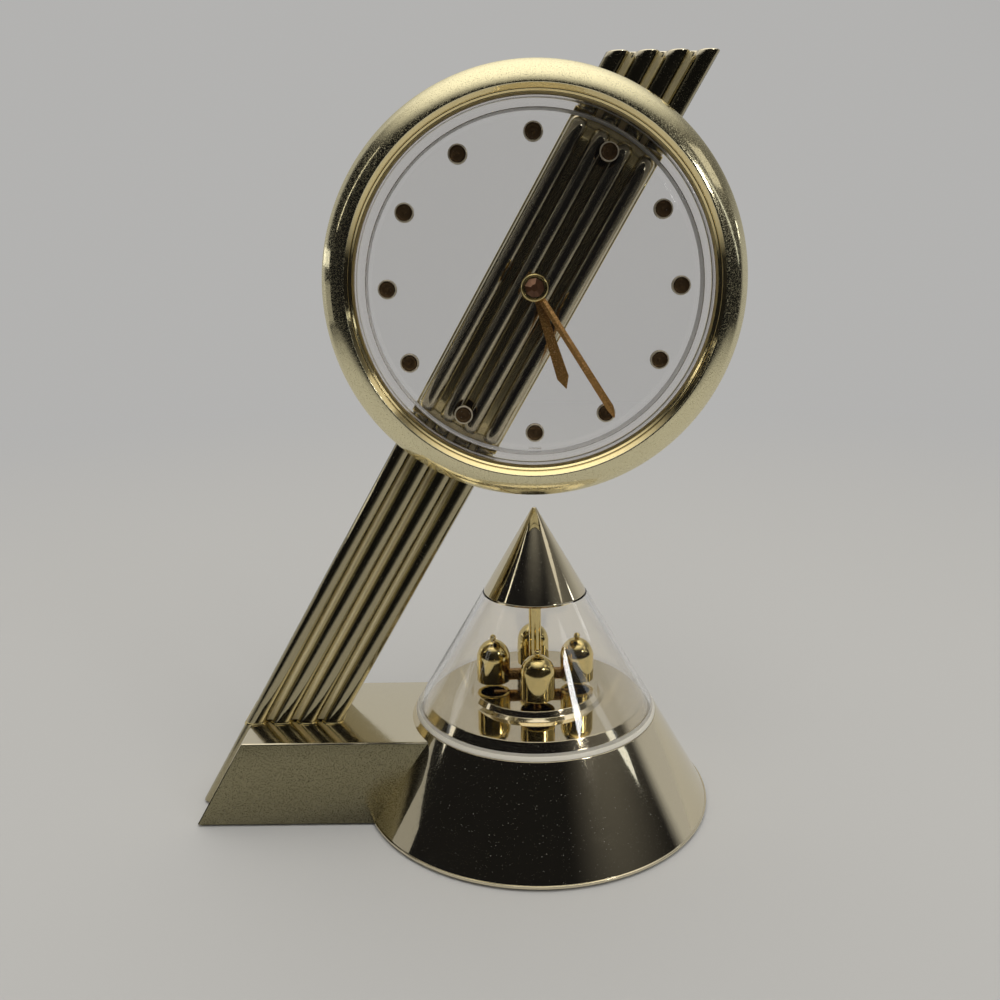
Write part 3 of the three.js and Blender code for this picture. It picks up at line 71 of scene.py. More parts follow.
# Post and bridge. Lengths along the post count from the dial's centre.
POST_TOP_Z = 287.7
POST_HALF = 17.1
POST_WALL = 2.0
POST_FRONT_Y = -8.6
POST_BACK_Y = 10.0
POST_GAP = 0.3
POST_FROM = -320
POST_TO = 140
RIB_PITCH = 9.1
RIB_HALF = 3.35
RIB_HEIGHT = 3.0
RIB_MIDDLES = [(i - 1.5) * RIB_PITCH for i in range(4)]
VALLEY_HALF = RIB_PITCH / 2 - RIB_HALF
VALLEY_DEPTH = 0.8
VALLEY_REACH = 10
VALLEY_BACK_Y = POST_FRONT_Y + 0.9
POST_RIM_FROM = -230
POST_RIM_TO = -150
POST_RIM_OUT = 0.4
POST_RIM_HEIGHT = 0.45
POST_RIM_DEPTH = 0.5
BRIDGE_HALF_WIDTH = 17.6
BRIDGE_FRONT_Y = -10.4
BRIDGE_RIB_END = 1.4
BRIDGE_RIB_SUNK = 1
BRIDGE_CORNER_R = 63.1
BRIDGE_HALF = math.sqrt(BRIDGE_CORNER_R ** 2 - BRIDGE_HALF_WIDTH ** 2)

# Box. Its right end counts from the cone's axis.
BOX_RIGHT_X = -40.0
BOX_TOP_Z = 36.0
BOX_HALF_DEPTH = 28.2
BOX_WALL = 2.2

# Head
LIP_R = 65.9
CRYSTAL_R = 62.9
CRYSTAL_INNER_R = 59.4
DIAL_FRONT_Y = -15.7
HAND_THICK = 0.6
HOUR_HAND_Y = -18.1
MINUTE_HAND_Y = -20.0
CAP_Y = -20.9
CAP_FRONT_Y = -24.3
MARKER_CIRCLE_R = 52.5
MARKER_BACK_Y = -13.7

# Pendulum
WEIGHT_R = 6.8
WEIGHT_BOTTOM_Z = 49.8
WEIGHT_REACH = 17.2
HUB_TOP_Z = 54.1

# Turns in degrees
HOUR_TURN = 162.3
MINUTE_TURN = 147.6
JEWEL_TURN = 11
PENDULUM_TURN = 1.5

# Steps of a full turn
ROUND = 192
ROUND_SMALL = 64

# The share of a line that a corner may take, and how long straight parts are held flat
CORNER_SHARE = 0.48
FLAT_LENGTH = 1.5
FLAT_INSET = 0.12

# Points nearer than this are the same, in metres
NEAR = 1e-7

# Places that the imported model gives
tip_low, tip_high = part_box("cone_tip")
ring_low, ring_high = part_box("bezel_ring")
AXIS_X = (tip_low.x + tip_high.x) / 2
CONE = Vector((AXIS_X, 0, 0))
DIAL = Vector((AXIS_X, 0, (ring_low.z + ring_high.z) / 2))
BOX_LEFT_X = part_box("box_shell")[0].x
UP = Vector((0, 0, 1))


# Shader helpers
def node(tree, kind, **settings):
    made = tree.nodes.new(kind)
    for key, value in settings.items():
        setattr(made, key, value)
    return made


def feed(tree, socket, value):
    """Sets a socket to a number, or links it to the socket that the value comes from."""
    if isinstance(value, (int, float)):
        socket.default_value = value
    else:
        tree.links.new(value, socket)


def computed(tree, operation, *values):
    made = node(tree, "ShaderNodeMath", operation=operation)
    for socket, value in zip(made.inputs, values):
        feed(tree, socket, value)
    return made.outputs[0]


def vector_math(tree, operation, source, other=None):
    made = node(tree, "ShaderNodeVectorMath", operation=operation)
    if other is not None:
        made.inputs[1].default_value = other
    tree.links.new(source, made.inputs[0])
    return made.outputs


def noise(tree, coordinates, scale, detail=2.0, roughness=0.5):
    made = node(tree, "ShaderNodeTexNoise")
    feed(tree, made.inputs["Scale"], scale)
    made.inputs["Detail"].default_value = detail
    made.inputs["Roughness"].default_value = roughness
    tree.links.new(coordinates, made.inputs["Vector"])
    return made.outputs["Fac"]


def spread(tree, source, low, high):
    """A smooth step from 0 at low to 1 at high."""
    made = node(tree, "ShaderNodeMapRange", interpolation_type="SMOOTHSTEP")
    made.inputs["From Min"].default_value = low
    made.inputs["From Max"].default_value = high
    tree.links.new(source, made.inputs["Value"])
    return made.outputs["Result"]


def mixed(tree, factor, a, b):
    made = node(tree, "ShaderNodeMix", data_type="RGBA")
    tree.links.new(factor, made.inputs["Factor"])
    for socket, source in ((made.inputs["A"], a), (made.inputs["B"], b)):
        tree.links.new(source, socket)
    return made.outputs["Result"]


def tone(tree, color):
    made = node(tree, "ShaderNodeRGB")
    made.outputs[0].default_value = color
    return made.outputs[0]


def blended(tree, factor, a, b):
    """Puts a mix of two shaders into the material's output."""
    made = node(tree, "ShaderNodeMixShader")
    tree.links.new(factor, made.inputs["Fac"])
    tree.links.new(a, made.inputs[1])
    tree.links.new(b, made.inputs[2])
    tree.links.new(made.outputs["Shader"], tree.nodes["Material Output"].inputs["Surface"])


def effect_group(name, colors, amounts, outputs):
    """An empty effect group, with what it is given, what it gives and the object's own coordinates."""
    group = bpy.data.node_groups.new(name, "ShaderNodeTree")
    sockets = [(key, "INPUT", "Color") for key in colors]
    sockets += [(key, "INPUT", "Float") for key in amounts]
    sockets += [(key, "OUTPUT", kind) for key, kind in outputs.items()]
    for key, direction, kind in sockets:
        group.interface.new_socket(key, in_out=direction, socket_type=f"NodeSocket{kind}")
    given = node(group, "NodeGroupInput").outputs
    gives = node(group, "NodeGroupOutput").inputs
    place = node(group, "ShaderNodeTexCoord").outputs["Object"]
    return group, given, gives, place


# Effect groups, each built once
DUST = (0.55, 0.53, 0.48, 1)
DUST_SCALE = 2600
DUST_METAL = -0.8
DUST_ROUGHNESS = 0.15
SMUDGE_ROUGHNESS = 0.05


def plating_group():
    """Plated metal: frosty grains, slow ripples, a fine peel, smudges in the gloss and specks of dust."""
    group, given, gives, place = effect_group(
        "plating",
        ("Color", "Grain Color"),
        ("Grain", "Grain Scale", "Gloss", "Ripple", "Peel", "Metal", "Frost"),
        {"Color": "Color", "Roughness": "Float", "Metallic": "Float", "Normal": "Vector"},
    )
    grains = spread(group, noise(group, place, given["Grain Scale"], 3.0, 0.7), 0.50, 0.62)
    smudges = spread(group, noise(group, place, 55, 4.0, 0.6), 0.48, 0.72)
    dust = spread(group, noise(group, place, DUST_SCALE, 1.0, 0.4), 0.72, 0.85)
    grain_mask = computed(group, "MULTIPLY", grains, given["Grain"])
    toned = mixed(group, grain_mask, given["Color"], given["Grain Color"])
    group.links.new(mixed(group, dust, toned, tone(group, DUST)), gives["Color"])
    bare = computed(group, "MULTIPLY_ADD", dust, DUST_METAL, 1.0)
    group.links.new(computed(group, "MULTIPLY", bare, given["Metal"]), gives["Metallic"])
    smudged = computed(group, "MULTIPLY_ADD", smudges, SMUDGE_ROUGHNESS, given["Gloss"])
    dusty = computed(group, "MULTIPLY_ADD", dust, DUST_ROUGHNESS, smudged)
    frosted = computed(group, "MULTIPLY_ADD", grains, given["Frost"], dusty)
    group.links.new(frosted, gives["Roughness"])
    ripple = computed(group, "MULTIPLY", noise(group, place, 260, 2.0, 0.5), given["Ripple"])
    peel = computed(group, "MULTIPLY", noise(group, place, 2100, 2.0, 0.6), given["Peel"])
    bump = node(group, "ShaderNodeBump")
    bump.inputs["Distance"].default_value = 0.0002
    group.links.new(computed(group, "ADD", ripple, peel), bump.inputs["Height"])
    group.links.new(bump.outputs["Normal"], gives["Normal"])
    return group


def moulded_group():
    """Moulded plastic or rubber: a fine spark texture, worn patches and a slightly uneven gloss."""
    group, given, gives, place = effect_group(
        "moulded",
        ("Color", "Worn Color"),
        ("Texture Scale", "Texture", "Gloss"),
        {"Color": "Color", "Roughness": "Float", "Normal": "Vector"},
    )
    patches = spread(group, noise(group, place, 70, 3.0, 0.6), 0.45, 0.7)
    group.links.new(mixed(group, patches, given["Color"], given["Worn Color"]), gives["Color"])
    group.links.new(computed(group, "MULTIPLY_ADD", patches, 0.1, given["Gloss"]), gives["Roughness"])
    bump = node(group, "ShaderNodeBump")
    bump.inputs["Distance"].default_value = 0.0001
    group.links.new(given["Texture"], bump.inputs["Strength"])
    group.links.new(noise(group, place, given["Texture Scale"]), bump.inputs["Height"])
    group.links.new(bump.outputs["Normal"], gives["Normal"])
    return group


PLATING = plating_group()
MOULDED = moulded_group()


# Materials
def new_material(name):
    """A new material with its tree and its Principled shader."""
    material = bpy.data.materials.new(name)
    material.use_nodes = True
    tree = material.node_tree
    return material, tree, tree.nodes["Principled BSDF"]


def finish_from(name, group, values):
    """A material whose Principled shader takes all that an effect group puts out."""
    material, tree, shader = new_material(name)
    effect = node(tree, "ShaderNodeGroup", node_tree=group)
    for key, value in values.items():
        effect.inputs[key].default_value = value
    for output in effect.outputs:
        socket = "Base Color" if output.name == "Color" else output.name
        tree.links.new(output, shader.inputs[socket])
    return material


def plated(
    name, color, grain_color,
    grain=0.3, size=2600.0, gloss=0.06, ripple=0.1, peel=0.02, metal=1.0, frost=0.08,
):
    """Plated metal. Gloss is its roughness, and frost what the grains add to it."""
    values = {
        "Color": (*color, 1),
        "Grain Color": (*grain_color, 1),
        "Grain": grain,
        "Grain Scale": size,
        "Gloss": gloss,
        "Ripple": ripple,
        "Peel": peel,
        "Metal": metal,
        "Frost": frost,
    }
    return finish_from(name, PLATING, values)


def moulded(name, color, worn, gloss=0.5, texture=0.3, scale=2400.0):
    values = {
        "Color": (*color, 1),
        "Worn Color": (*worn, 1),
        "Gloss": gloss,
        "Texture": texture,
        "Texture Scale": scale,
    }
    return finish_from(name, MOULDED, values)


def clear_plastic(name, tint, roughness, through=1.0):
    """Clear acrylic that lets the lamps' light through to what stands behind it."""
    material, tree, shader = new_material(name)
    shader.inputs["Base Color"].default_value = (*tint, 1)
    shader.inputs["Roughness"].default_value = roughness
    shader.inputs["IOR"].default_value = 1.49
    shader.inputs["Transmission Weight"].default_value = through
    shade = node(tree, "ShaderNodeBsdfTransparent")
    shade.inputs["Color"].default_value = (0.94, 0.94, 0.95, 1)
    shadow = node(tree, "ShaderNodeLightPath").outputs["Is Shadow Ray"]
    blended(tree, shadow, shader.outputs["BSDF"], shade.outputs["BSDF"])
    return material


cone_gold = plated(
    "cone_gold", (0.80, 0.72, 0.53), (0.5, 0.42, 0.25), grain=0.1, gloss=0.03, ripple=0.04, peel=0.008
)
ring_gold = plated(
    "ring_gold", (0.80, 0.73, 0.48), (0.56, 0.49, 0.26),
    grain=0.15, gloss=0.05, ripple=0.12, peel=0.04, frost=0.42,
)
lip_gold = plated("lip_gold", (0.88, 0.74, 0.40), (0.62, 0.46, 0.18), grain=0.2)
# A darker copy of the plating for the post: painted shade
post_gold = plated("post_gold", (0.44, 0.39, 0.25), (0.20, 0.15, 0.07), gloss=0.04, frost=0.2)
bridge_gold = plated(
    "bridge_gold", (0.66, 0.60, 0.44), (0.40, 0.32, 0.18), grain=0.1, gloss=0.02, ripple=0.04, frost=0.0
)
# A lighter, partly matt copy of the plating for the valleys between the post's ribs: painted light
valley_gold_painted_light = plated(
    "valley_gold_painted_light", (0.92, 0.80, 0.48), (0.60, 0.46, 0.20), grain=0.2, gloss=0.3, metal=0.45
)
edge_gold = plated("edge_gold", (0.82, 0.70, 0.38), (0.36, 0.26, 0.10), gloss=0.10)
# The box front's satin gold: real satin speckle, with a darkened tone that is painted shade
satin_gold = plated(
    "satin_gold", (0.30, 0.27, 0.165), (0.10, 0.085, 0.045), grain=0.85, gloss=0.2, peel=0.5, frost=0.15
)
# A lighter copy of the plating for faces that look upward: painted light on the tops of the box and post
top_gold_painted_light = plated("top_gold_painted_light", (0.88, 0.80, 0.60), (0.60, 0.50, 0.30), grain=0.12, gloss=0.10, peel=0.04)
weight_gold = plated("weight_gold", (0.84, 0.69, 0.32), (0.42, 0.28, 0.07), grain=0.2, gloss=0.04)
bronze = plated("bronze", (0.50, 0.30, 0.11), (0.16, 0.09, 0.04), grain=0.5, gloss=0.2, peel=0.1)
hand_bronze = plated(
    "hand_bronze", (0.50, 0.27, 0.08), (0.30, 0.15, 0.05), grain=0.4, size=1800.0, gloss=0.24, metal=0.6
)
marker_bronze = plated(
    "marker_bronze", (0.17, 0.105, 0.045), (0.06, 0.035, 0.02), grain=0.4, gloss=0.18, metal=0.6
)
marker_rim = plated("marker_rim", (0.90, 0.80, 0.60), (0.4, 0.32, 0.2), grain=0.2, gloss=0.2, metal=0.5)
jewel_dark = plated(
    "jewel_dark", (0.17, 0.08, 0.04), (0.06, 0.03, 0.02), grain=0.2, gloss=0.1, ripple=0.02, metal=0.5
)
# A copper colour for one facet of the jewel: a painted reflection
jewel_painted_copper_reflection = plated(
    "jewel_painted_copper_reflection", (0.72, 0.40, 0.24), (0.4, 0.18, 0.08), grain=0.2, gloss=0.15, ripple=0.02, metal=0.3
)
steel = plated("steel", (0.56, 0.56, 0.58), (0.3, 0.3, 0.32), grain=0.4, gloss=0.22)
copper = plated("copper", (0.62, 0.30, 0.14), (0.32, 0.12, 0.05), grain=0.6, gloss=0.25)
jacket = plated("jacket", (0.12, 0.13, 0.15), (0.06, 0.06, 0.07), grain=0.4, gloss=0.3)
black_plastic = moulded("black_plastic", (0.018, 0.018, 0.02), (0.035, 0.035, 0.037), gloss=0.42)
white_plastic = moulded("white_plastic", (0.72, 0.70, 0.65), (0.62, 0.60, 0.55), gloss=0.4, texture=0.1)
rubber = moulded("rubber", (0.012, 0.012, 0.012), (0.03, 0.03, 0.03), gloss=0.75, texture=0.5)
board_green = moulded(
    "board_green", (0.03, 0.12, 0.04), (0.05, 0.16, 0.06), gloss=0.35, texture=0.1, scale=900.0
)
cone_clear = clear_plastic("cone_clear", (0.985, 0.975, 0.96), 0.0)
cone_frosted = clear_plastic("cone_frosted", (0.80, 0.76, 0.66), 0.3, through=0.15)
crystal_clear = clear_plastic("crystal_clear", (0.99, 0.985, 0.98), 0.0)
crystal_edge = clear_plastic("crystal_edge", (0.95, 0.92, 0.89), 0.03)
crystal_rim = clear_plastic("crystal_rim", (0.84, 0.82, 0.79), 0.3, through=0.4)
dial_clear = clear_plastic("dial_clear", (0.985, 0.98, 0.975), 0.0)

# CAD nodes that show as they are, each with its finish
KEPT_NODES = {
    black_plastic: "base_plate battery_door post_back movement_lead movement_case movement_cover set_knob",
    white_plastic: "hour_wheel minute_wheel set_shaft",
    steel: "battery_spring battery_contact pivot_needle pendulum_magnet minute_arbor",
    copper: "drive_coil stepper_motor",
    board_green: "drive_board",
    jacket: "battery_cell",
    dial_clear: "dial_plate",
}
for material, names in KEPT_NODES.items():
    for name in names.split():
        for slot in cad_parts[name].material_slots:
            slot.material = material


# Mesh helpers. Outlines are lists of points in millimetres.
def arc(cx, cy, rx, ry, start, end, steps):
    made = []
    for i in range(steps + 1):
        a = math.radians(start + (end - start) * i / steps)
        made.append((cx + rx * math.cos(a), cy + ry * math.sin(a)))
    return made


def curve(a, b, c, d, steps):
    """A smooth line from a to d that leaves towards b and arrives from c."""
    made = []
    for i in range(steps + 1):
        t = i / steps
        parts = ((1 - t) ** 3, 3 * t * (1 - t) ** 2, 3 * t * t * (1 - t), t ** 3)
        made.append(tuple(sum(w * p[k] for w, p in zip(parts, (a, b, c, d))) for k in (0, 1)))
    return made


def softened(points, steps=4):
    """An outline whose points may carry a corner radius as a third number."""
    made = []
    for i, point in enumerate(points):
        if len(point) < 3:
            made.append(tuple(point))
            continue
        here = Vector(point[:2])
        back = Vector(points[i - 1][:2]) - here
        ahead = Vector(points[(i + 1) % len(points)][:2]) - here
        half = back.angle(ahead) / 2
        reach = min(point[2] / math.tan(half), CORNER_SHARE * back.length, CORNER_SHARE * ahead.length)
        radius = reach * math.tan(half)
        centre = here + (back.normalized() + ahead.normalized()).normalized() * radius / math.sin(half)
        first = here + back.normalized() * reach - centre
        last = here + ahead.normalized() * reach - centre
        turn = first.angle_signed(last)
        for k in range(steps + 1):
            spoke = first.copy()
            spoke.rotate(Matrix.Rotation(-turn * k / steps, 2))
            made.append(tuple(centre + spoke))
    return made


def tidied(bm):
    bmesh.ops.remove_doubles(bm, verts=bm.verts[:], dist=NEAR)
    bmesh.ops.recalc_face_normals(bm, faces=bm.faces[:])
    return bm


def held_flat(profile, closed):
    """The same outline with a point near both ends of each long straight part, so that it shades flat."""
    made = []
    for i, here in enumerate(profile):
        made.append(here)
        ahead = profile[(i + 1) % len(profile)]
        length = math.dist(here, ahead)
        if length > FLAT_LENGTH and (closed or i < len(profile) - 1):
            for share in (FLAT_INSET / length, 1 - FLAT_INSET / length):
                made.append(tuple(a + (b - a) * share for a, b in zip(here, ahead)))
    return made


def spun(profile, centre, upright=False, steps=ROUND, closed=True):
    """A turned piece from [radius, level] points, about the Y axis through centre, or Z if upright."""
    profile = held_flat(profile, closed)
    bm = bmesh.new()
    verts = []
    for r, level in profile:
        place = Vector((r, 0, level)) if upright else Vector((r, level, 0))
        verts.append(bm.verts.new(centre + place * MM))
    edges = [bm.edges.new(pair) for pair in zip(verts, verts[1:])]
    if closed:
        edges.append(bm.edges.new((verts[-1], verts[0])))
    axis = Vector((0, 0, 1)) if upright else Vector((0, 1, 0))
    bmesh.ops.spin(
        bm, geom=verts + edges, cent=centre, axis=axis, angle=2 * math.pi, steps=steps, use_merge=True
    )
    return tidied(bm)


def extruded(bm, faces, depth):
    """Faces drawn out along the vector depth in millimetres."""
    made = bmesh.ops.extrude_face_region(bm, geom=faces)["geom"]
    verts = [v for v in made if isinstance(v, bmesh.types.BMVert)]
    bmesh.ops.translate(bm, verts=verts, vec=depth * MM)


def outlined(points, place, depth):
    """A flat outline placed by a function of its points, extruded along the vector depth in millimetres."""
    bm = bmesh.new()
    face = bm.faces.new([bm.verts.new(place(*p) * MM) for p in points])
    extruded(bm, [face], depth)
    bmesh.ops.recalc_face_normals(bm, faces=bm.faces[:])
    return bm


def everything(bm):
    return bm.verts[:] + bm.edges[:] + bm.faces[:]


def cut_off(bm, point, normal):
    """Removes what lies on the side that normal points to, and closes the cut."""
    cut = bmesh.ops.bisect_plane(
        bm, geom=everything(bm), plane_co=point, plane_no=normal, clear_outer=True, dist=1e-8
    )
    edges = [e for e in cut["geom_cut"] if isinstance(e, bmesh.types.BMEdge)]
    bmesh.ops.edgeloop_fill(bm, edges=edges)
    return bm


def cut_above(bm, level):
    return cut_off(bm, Vector((0, 0, level * MM)), UP)


def cut_below(bm, level):
    return cut_off(bm, Vector((0, 0, level * MM)), -UP)


def bevelled(bm, edges, width, segments=3):
    bmesh.ops.bevel(
        bm, geom=edges, offset=width * MM, segments=segments, profile=0.5, affect="EDGES", material=-1
    )
    return bm


def sharp_edges(bm, angle):
    return [e for e in bm.edges if len(e.link_faces) == 2 and e.calc_face_angle(0) > math.radians(angle)]


def edges_at(edges, axis, level):
    """Those of the edges that lie at a level in millimetres along an axis, 0 for X to 2 for Z."""
    return [e for e in edges if all(abs(v.co[axis] - level * MM) < NEAR for v in e.verts)]


def moved(bm, matrix):
    bmesh.ops.transform(bm, matrix=matrix, verts=bm.verts[:])
    return bm


def rotation(degrees, axis):
    return Matrix.Rotation(math.radians(degrees), 4, axis)


def block(low, high):
    """A box between two corners in millimetres."""
    low = Vector(low)
    high = Vector(high)
    bm = bmesh.new()
    bmesh.ops.create_cube(bm, size=1)
    size = Matrix.Diagonal((high - low) * MM).to_4x4()
    return moved(bm, Matrix.Translation((low + high) / 2 * MM) @ size)


def together(*parts):
    """One mesh from several, each a bmesh or a pair with its material's number, None to keep its own."""
    whole = bmesh.new()
    for part in parts:
        bm, number = part if isinstance(part, tuple) else (part, 0)
        for face in bm.faces if number is not None else ():
            face.material_index = number
        held = bpy.data.meshes.new("held")
        bm.to_mesh(held)
        bm.free()
        whole.from_mesh(held)
        bpy.data.meshes.remove(held)
    return whole


def placed(name, data):
    made = bpy.data.objects.new(name, data)
    bpy.context.scene.collection.objects.link(made)
    return made


def piece(name, bm, materials, body, nodes, sharp=32):
    """A finished mesh as a piece that rides on a body and stands for CAD nodes."""
    mesh = bpy.data.meshes.new(name)
    bm.to_mesh(mesh)
    bm.free()
    made = placed(name, mesh)
    for material in materials if isinstance(materials, (list, tuple)) else [materials]:
        mesh.materials.append(material)
    mesh.shade_smooth()
    mesh.set_sharp_from_angle(angle=math.radians(sharp))
    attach(made, body)
    if nodes:
        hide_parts(*nodes.split())
    return made


TAN_CONE = CONE_BOTTOM_R / (CONE_APEX_Z - BASE_Z)


def cone_r(z):
    return (CONE_APEX_Z - z) * TAN_CONE


# Cone, deck and tip
base_cone = softened([
    (CONE_BOTTOM_R, BASE_Z, 0.2),
    (CONE_BOTTOM_R, LIP_Z, 0.35),
    (cone_r(LIP_Z), LIP_Z, 0.12),
    (cone_r(LEDGE_Z), LEDGE_Z, 0.2),
    (LEDGE_INNER_R, LEDGE_Z),
    (LEDGE_INNER_R, LEDGE_BACK_Z),
    (cone_r(LEDGE_BACK_Z) - CONE_WALL, LEDGE_BACK_Z),
    (cone_r(BASE_Z) - CONE_WALL, BASE_Z),
])
piece("base_cone", spun(base_cone, CONE, upright=True), cone_gold, "clock_body", "base_cone_shell")

deck = softened([
    (1.1, DISC_TOP_Z),
    (25.4, DISC_TOP_Z, 0.3),
    (26.6, 44.9, 0.3),
    (28.2, DECK_Z, 0.15),
    (43.7, DECK_Z, 0.35),
    (46.05, 39.83, 0.1),
    (46.05, FOOT_Z),
    (44.4, FOOT_Z),
    (44.4, 40.2),
    (42.3, 42.1),
    (27.9, 42.1),
    (24.7, 44.8),
    (1.1, 44.8),
])
piece("deck", spun(deck, CONE, upright=True), cone_gold, "clock_body", "mirror_deck")

# The clear cone's wall, on a milky ring that also shows through the wall's lower face
clear_side = softened([
    (cone_r(CLEAR_FOOT_Z), CLEAR_FOOT_Z, 0.1),
    (cone_r(CLEAR_TOP_Z), CLEAR_TOP_Z, 0.1),
    (cone_r(CLEAR_TOP_Z) - CLEAR_WALL, CLEAR_TOP_Z, 0.1),
    (cone_r(CLEAR_FOOT_Z) - CLEAR_WALL, CLEAR_FOOT_Z, 0.1),
])
clear_foot = softened([
    (cone_r(FOOT_Z), FOOT_Z, 0.15),
    (cone_r(MILKY_TOP_Z), MILKY_TOP_Z, 0.15),
    (cone_r(MILKY_TOP_Z) - MILKY_WALL, MILKY_TOP_Z, 0.15),
    (cone_r(MILKY_TOP_Z) - MILKY_WALL, FOOT_Z),
])
clear_wall = spun(clear_side, CONE, upright=True)
for face in clear_wall.faces:
    face.material_index = 1 if face.normal.z < -0.9 else 0
clear_whole = together((clear_wall, None), (spun(clear_foot, CONE, upright=True), 1))
piece("clear_side", clear_whole, [cone_clear, cone_frosted], "clock_body", "clear_cone")

tip = softened([
    (0, TIP_TOP_Z),
    (cone_r(TIP_TOP_Z), TIP_TOP_Z, 0.9),
    (cone_r(TIP_FOOT_Z), TIP_FOOT_Z, 0.35),
    (cone_r(TIP_FOOT_Z) - TIP_WALL, TIP_FOOT_Z),
    (0, TIP_HOLLOW_Z),
])
piece("tip", spun(tip, CONE, upright=True, closed=False), cone_gold, "clock_body", "cone_tip")


# Post, made on its own axis about the dial's centre and then leaned
def ribbed_outline(channel, extra):
    """The post's section: four half-round ribs with shallow valleys between. A channel is open behind."""
    half = POST_HALF + extra
    front = POST_FRONT_Y - extra
    back = POST_BACK_Y + extra
    points = [(-half, back, 0.3), (-half, front, 0.25)]
    for middle in RIB_MIDDLES:
        points.extend(arc(middle, front, RIB_HALF + extra, RIB_HEIGHT, 180, 360, 24))
        if middle < RIB_MIDDLES[-1]:
            valley = middle + RIB_PITCH / 2
            points.extend(arc(valley, front, VALLEY_HALF - extra, VALLEY_DEPTH, 180, 0, 10)[1:-1])
    points.extend([(half, front, 0.25), (half, back, 0.3)])
    if channel:
        inner = half - POST_WALL
        floor = front + POST_WALL
        points.extend([(inner, back), (inner, floor), (-inner, floor), (-inner, back)])
    return softened(points, 3)


def leaned(bm):
    return moved(bm, Matrix.Translation(DIAL) @ Matrix.Rotation(LEAN, 4, "Y"))


def post_length(start, end, channel, extra=0.0):
    """A length of the post. The valleys between its ribs take the second material, a lighter copy of the
    plating that paints light into them.
    """
    outline = ribbed_outline(channel, extra)
    bm = outlined(outline, lambda x, y: Vector((x, y, start)), Vector((0, 0, end - start)))
    for face in bm.faces:
        centre = face.calc_center_median() / MM
        off = abs(centre.x - round(centre.x / RIB_PITCH) * RIB_PITCH)
        valley = off < VALLEY_HALF and abs(centre.x) < VALLEY_REACH and centre.y < VALLEY_BACK_Y
        face.material_index = 1 if valley else 0
    return leaned(bm)


# Box, open below and towards the cone, with a rim where the post stands on it
def box_place(x, z):
    return Vector((AXIS_X / MM + x, -BOX_HALF_DEPTH, z))


box_left_x = (BOX_LEFT_X - AXIS_X) / MM
box_rise = BOX_TOP_Z - BASE_Z
box_outline = [
    (box_left_x, BASE_Z),
    (BOX_RIGHT_X, BASE_Z),
    (BOX_RIGHT_X, BOX_TOP_Z),
    (box_left_x + box_rise * math.tan(LEAN), BOX_TOP_Z),
]
box = outlined(box_outline, box_place, Vector((0, 2 * BOX_HALF_DEPTH, 0)))
open_faces = [f for f in box.faces if f.normal.z < -0.9 or f.normal.x > 0.9]
bmesh.ops.delete(box, geom=open_faces, context="FACES")
bevelled(box, sharp_edges(box, 40), 0.7, 4)
# Upward faces take the painted light of the second material; the rest keep the first material's painted
# shade
for face in box.faces:
    face.material_index = 1 if face.normal.z > 0.3 else 0
box_piece = piece("box", box, [satin_gold, top_gold_painted_light], "clock_body", "box_shell", sharp=12)
shell = box_piece.modifiers.new("wall", "SOLIDIFY")
shell.thickness = BOX_WALL * MM
shell.offset = -1

rim_top_z = BOX_TOP_Z + POST_RIM_HEIGHT
rim = post_length(POST_RIM_FROM, POST_RIM_TO, False, extra=POST_RIM_OUT)
cut_above(rim, rim_top_z)
cut_below(rim, BOX_TOP_Z - POST_RIM_DEPTH)
bevelled(rim, edges_at(rim.edges, 2, rim_top_z), 0.2, 3)
for face in rim.faces:
    face.material_index = 0
piece("post_rim", rim, edge_gold, "clock_body", "")

lower = post_length(POST_FROM, -BRIDGE_HALF - POST_GAP, True)
cut_below(lower, BASE_Z)
piece("post_foot", lower, [post_gold, valley_gold_painted_light], "clock_body", "post_lower", sharp=25)
upper = post_length(BRIDGE_HALF + POST_GAP, POST_TO, True)
cut_above(upper, POST_TOP_Z - POST_WALL)
cap = post_length(BRIDGE_HALF + POST_GAP, POST_TO, False)
cut_above(cap, POST_TOP_Z)
cut_below(cap, POST_TOP_Z - POST_WALL)
bevelled(cap, edges_at(cap.edges, 2, POST_TOP_Z), 0.6, 3)
# The cap's upward faces take the third material: painted light on the post's top
for face in cap.faces:
    if face.normal.z > 0.15:
        face.material_index = 2
head = together((upper, None), (cap, None))
piece("post_head", head, [post_gold, valley_gold_painted_light, top_gold_painted_light], "clock_body", "post_upper", sharp=19)


# Bridge, on the same axis
def bridge_rib(middle):
    """A half-round rib with round ends, from a ball that is opened at its middle and drawn out."""
    straight = 2 * (BRIDGE_HALF - BRIDGE_RIB_END - RIB_HALF) * MM
    bm = bmesh.new()
    bmesh.ops.create_uvsphere(bm, u_segments=48, v_segments=16, radius=RIB_HALF * MM)
    bmesh.ops.split_edges(bm, edges=edges_at(bm.edges, 2, 0))
    for sign in (-1, 1):
        verts = {v for f in bm.faces if f.calc_center_median().z * sign > 0 for v in f.verts}
        bmesh.ops.translate(bm, verts=list(verts), vec=Vector((0, 0, sign * straight / 2)))
    loops = [e for e in bm.edges if e.is_boundary]
    bmesh.ops.bridge_loops(bm, edges=loops)
    bmesh.ops.scale(bm, vec=Vector((1, RIB_HEIGHT / RIB_HALF, 1)), verts=bm.verts[:])
    bmesh.ops.translate(bm, vec=Vector((middle * MM, BRIDGE_FRONT_Y * MM, 0)), verts=bm.verts[:])
    cut_off(bm, Vector((0, (BRIDGE_FRONT_Y + BRIDGE_RIB_SUNK) * MM, 0)), Vector((0, 1, 0)))
    return tidied(bm)


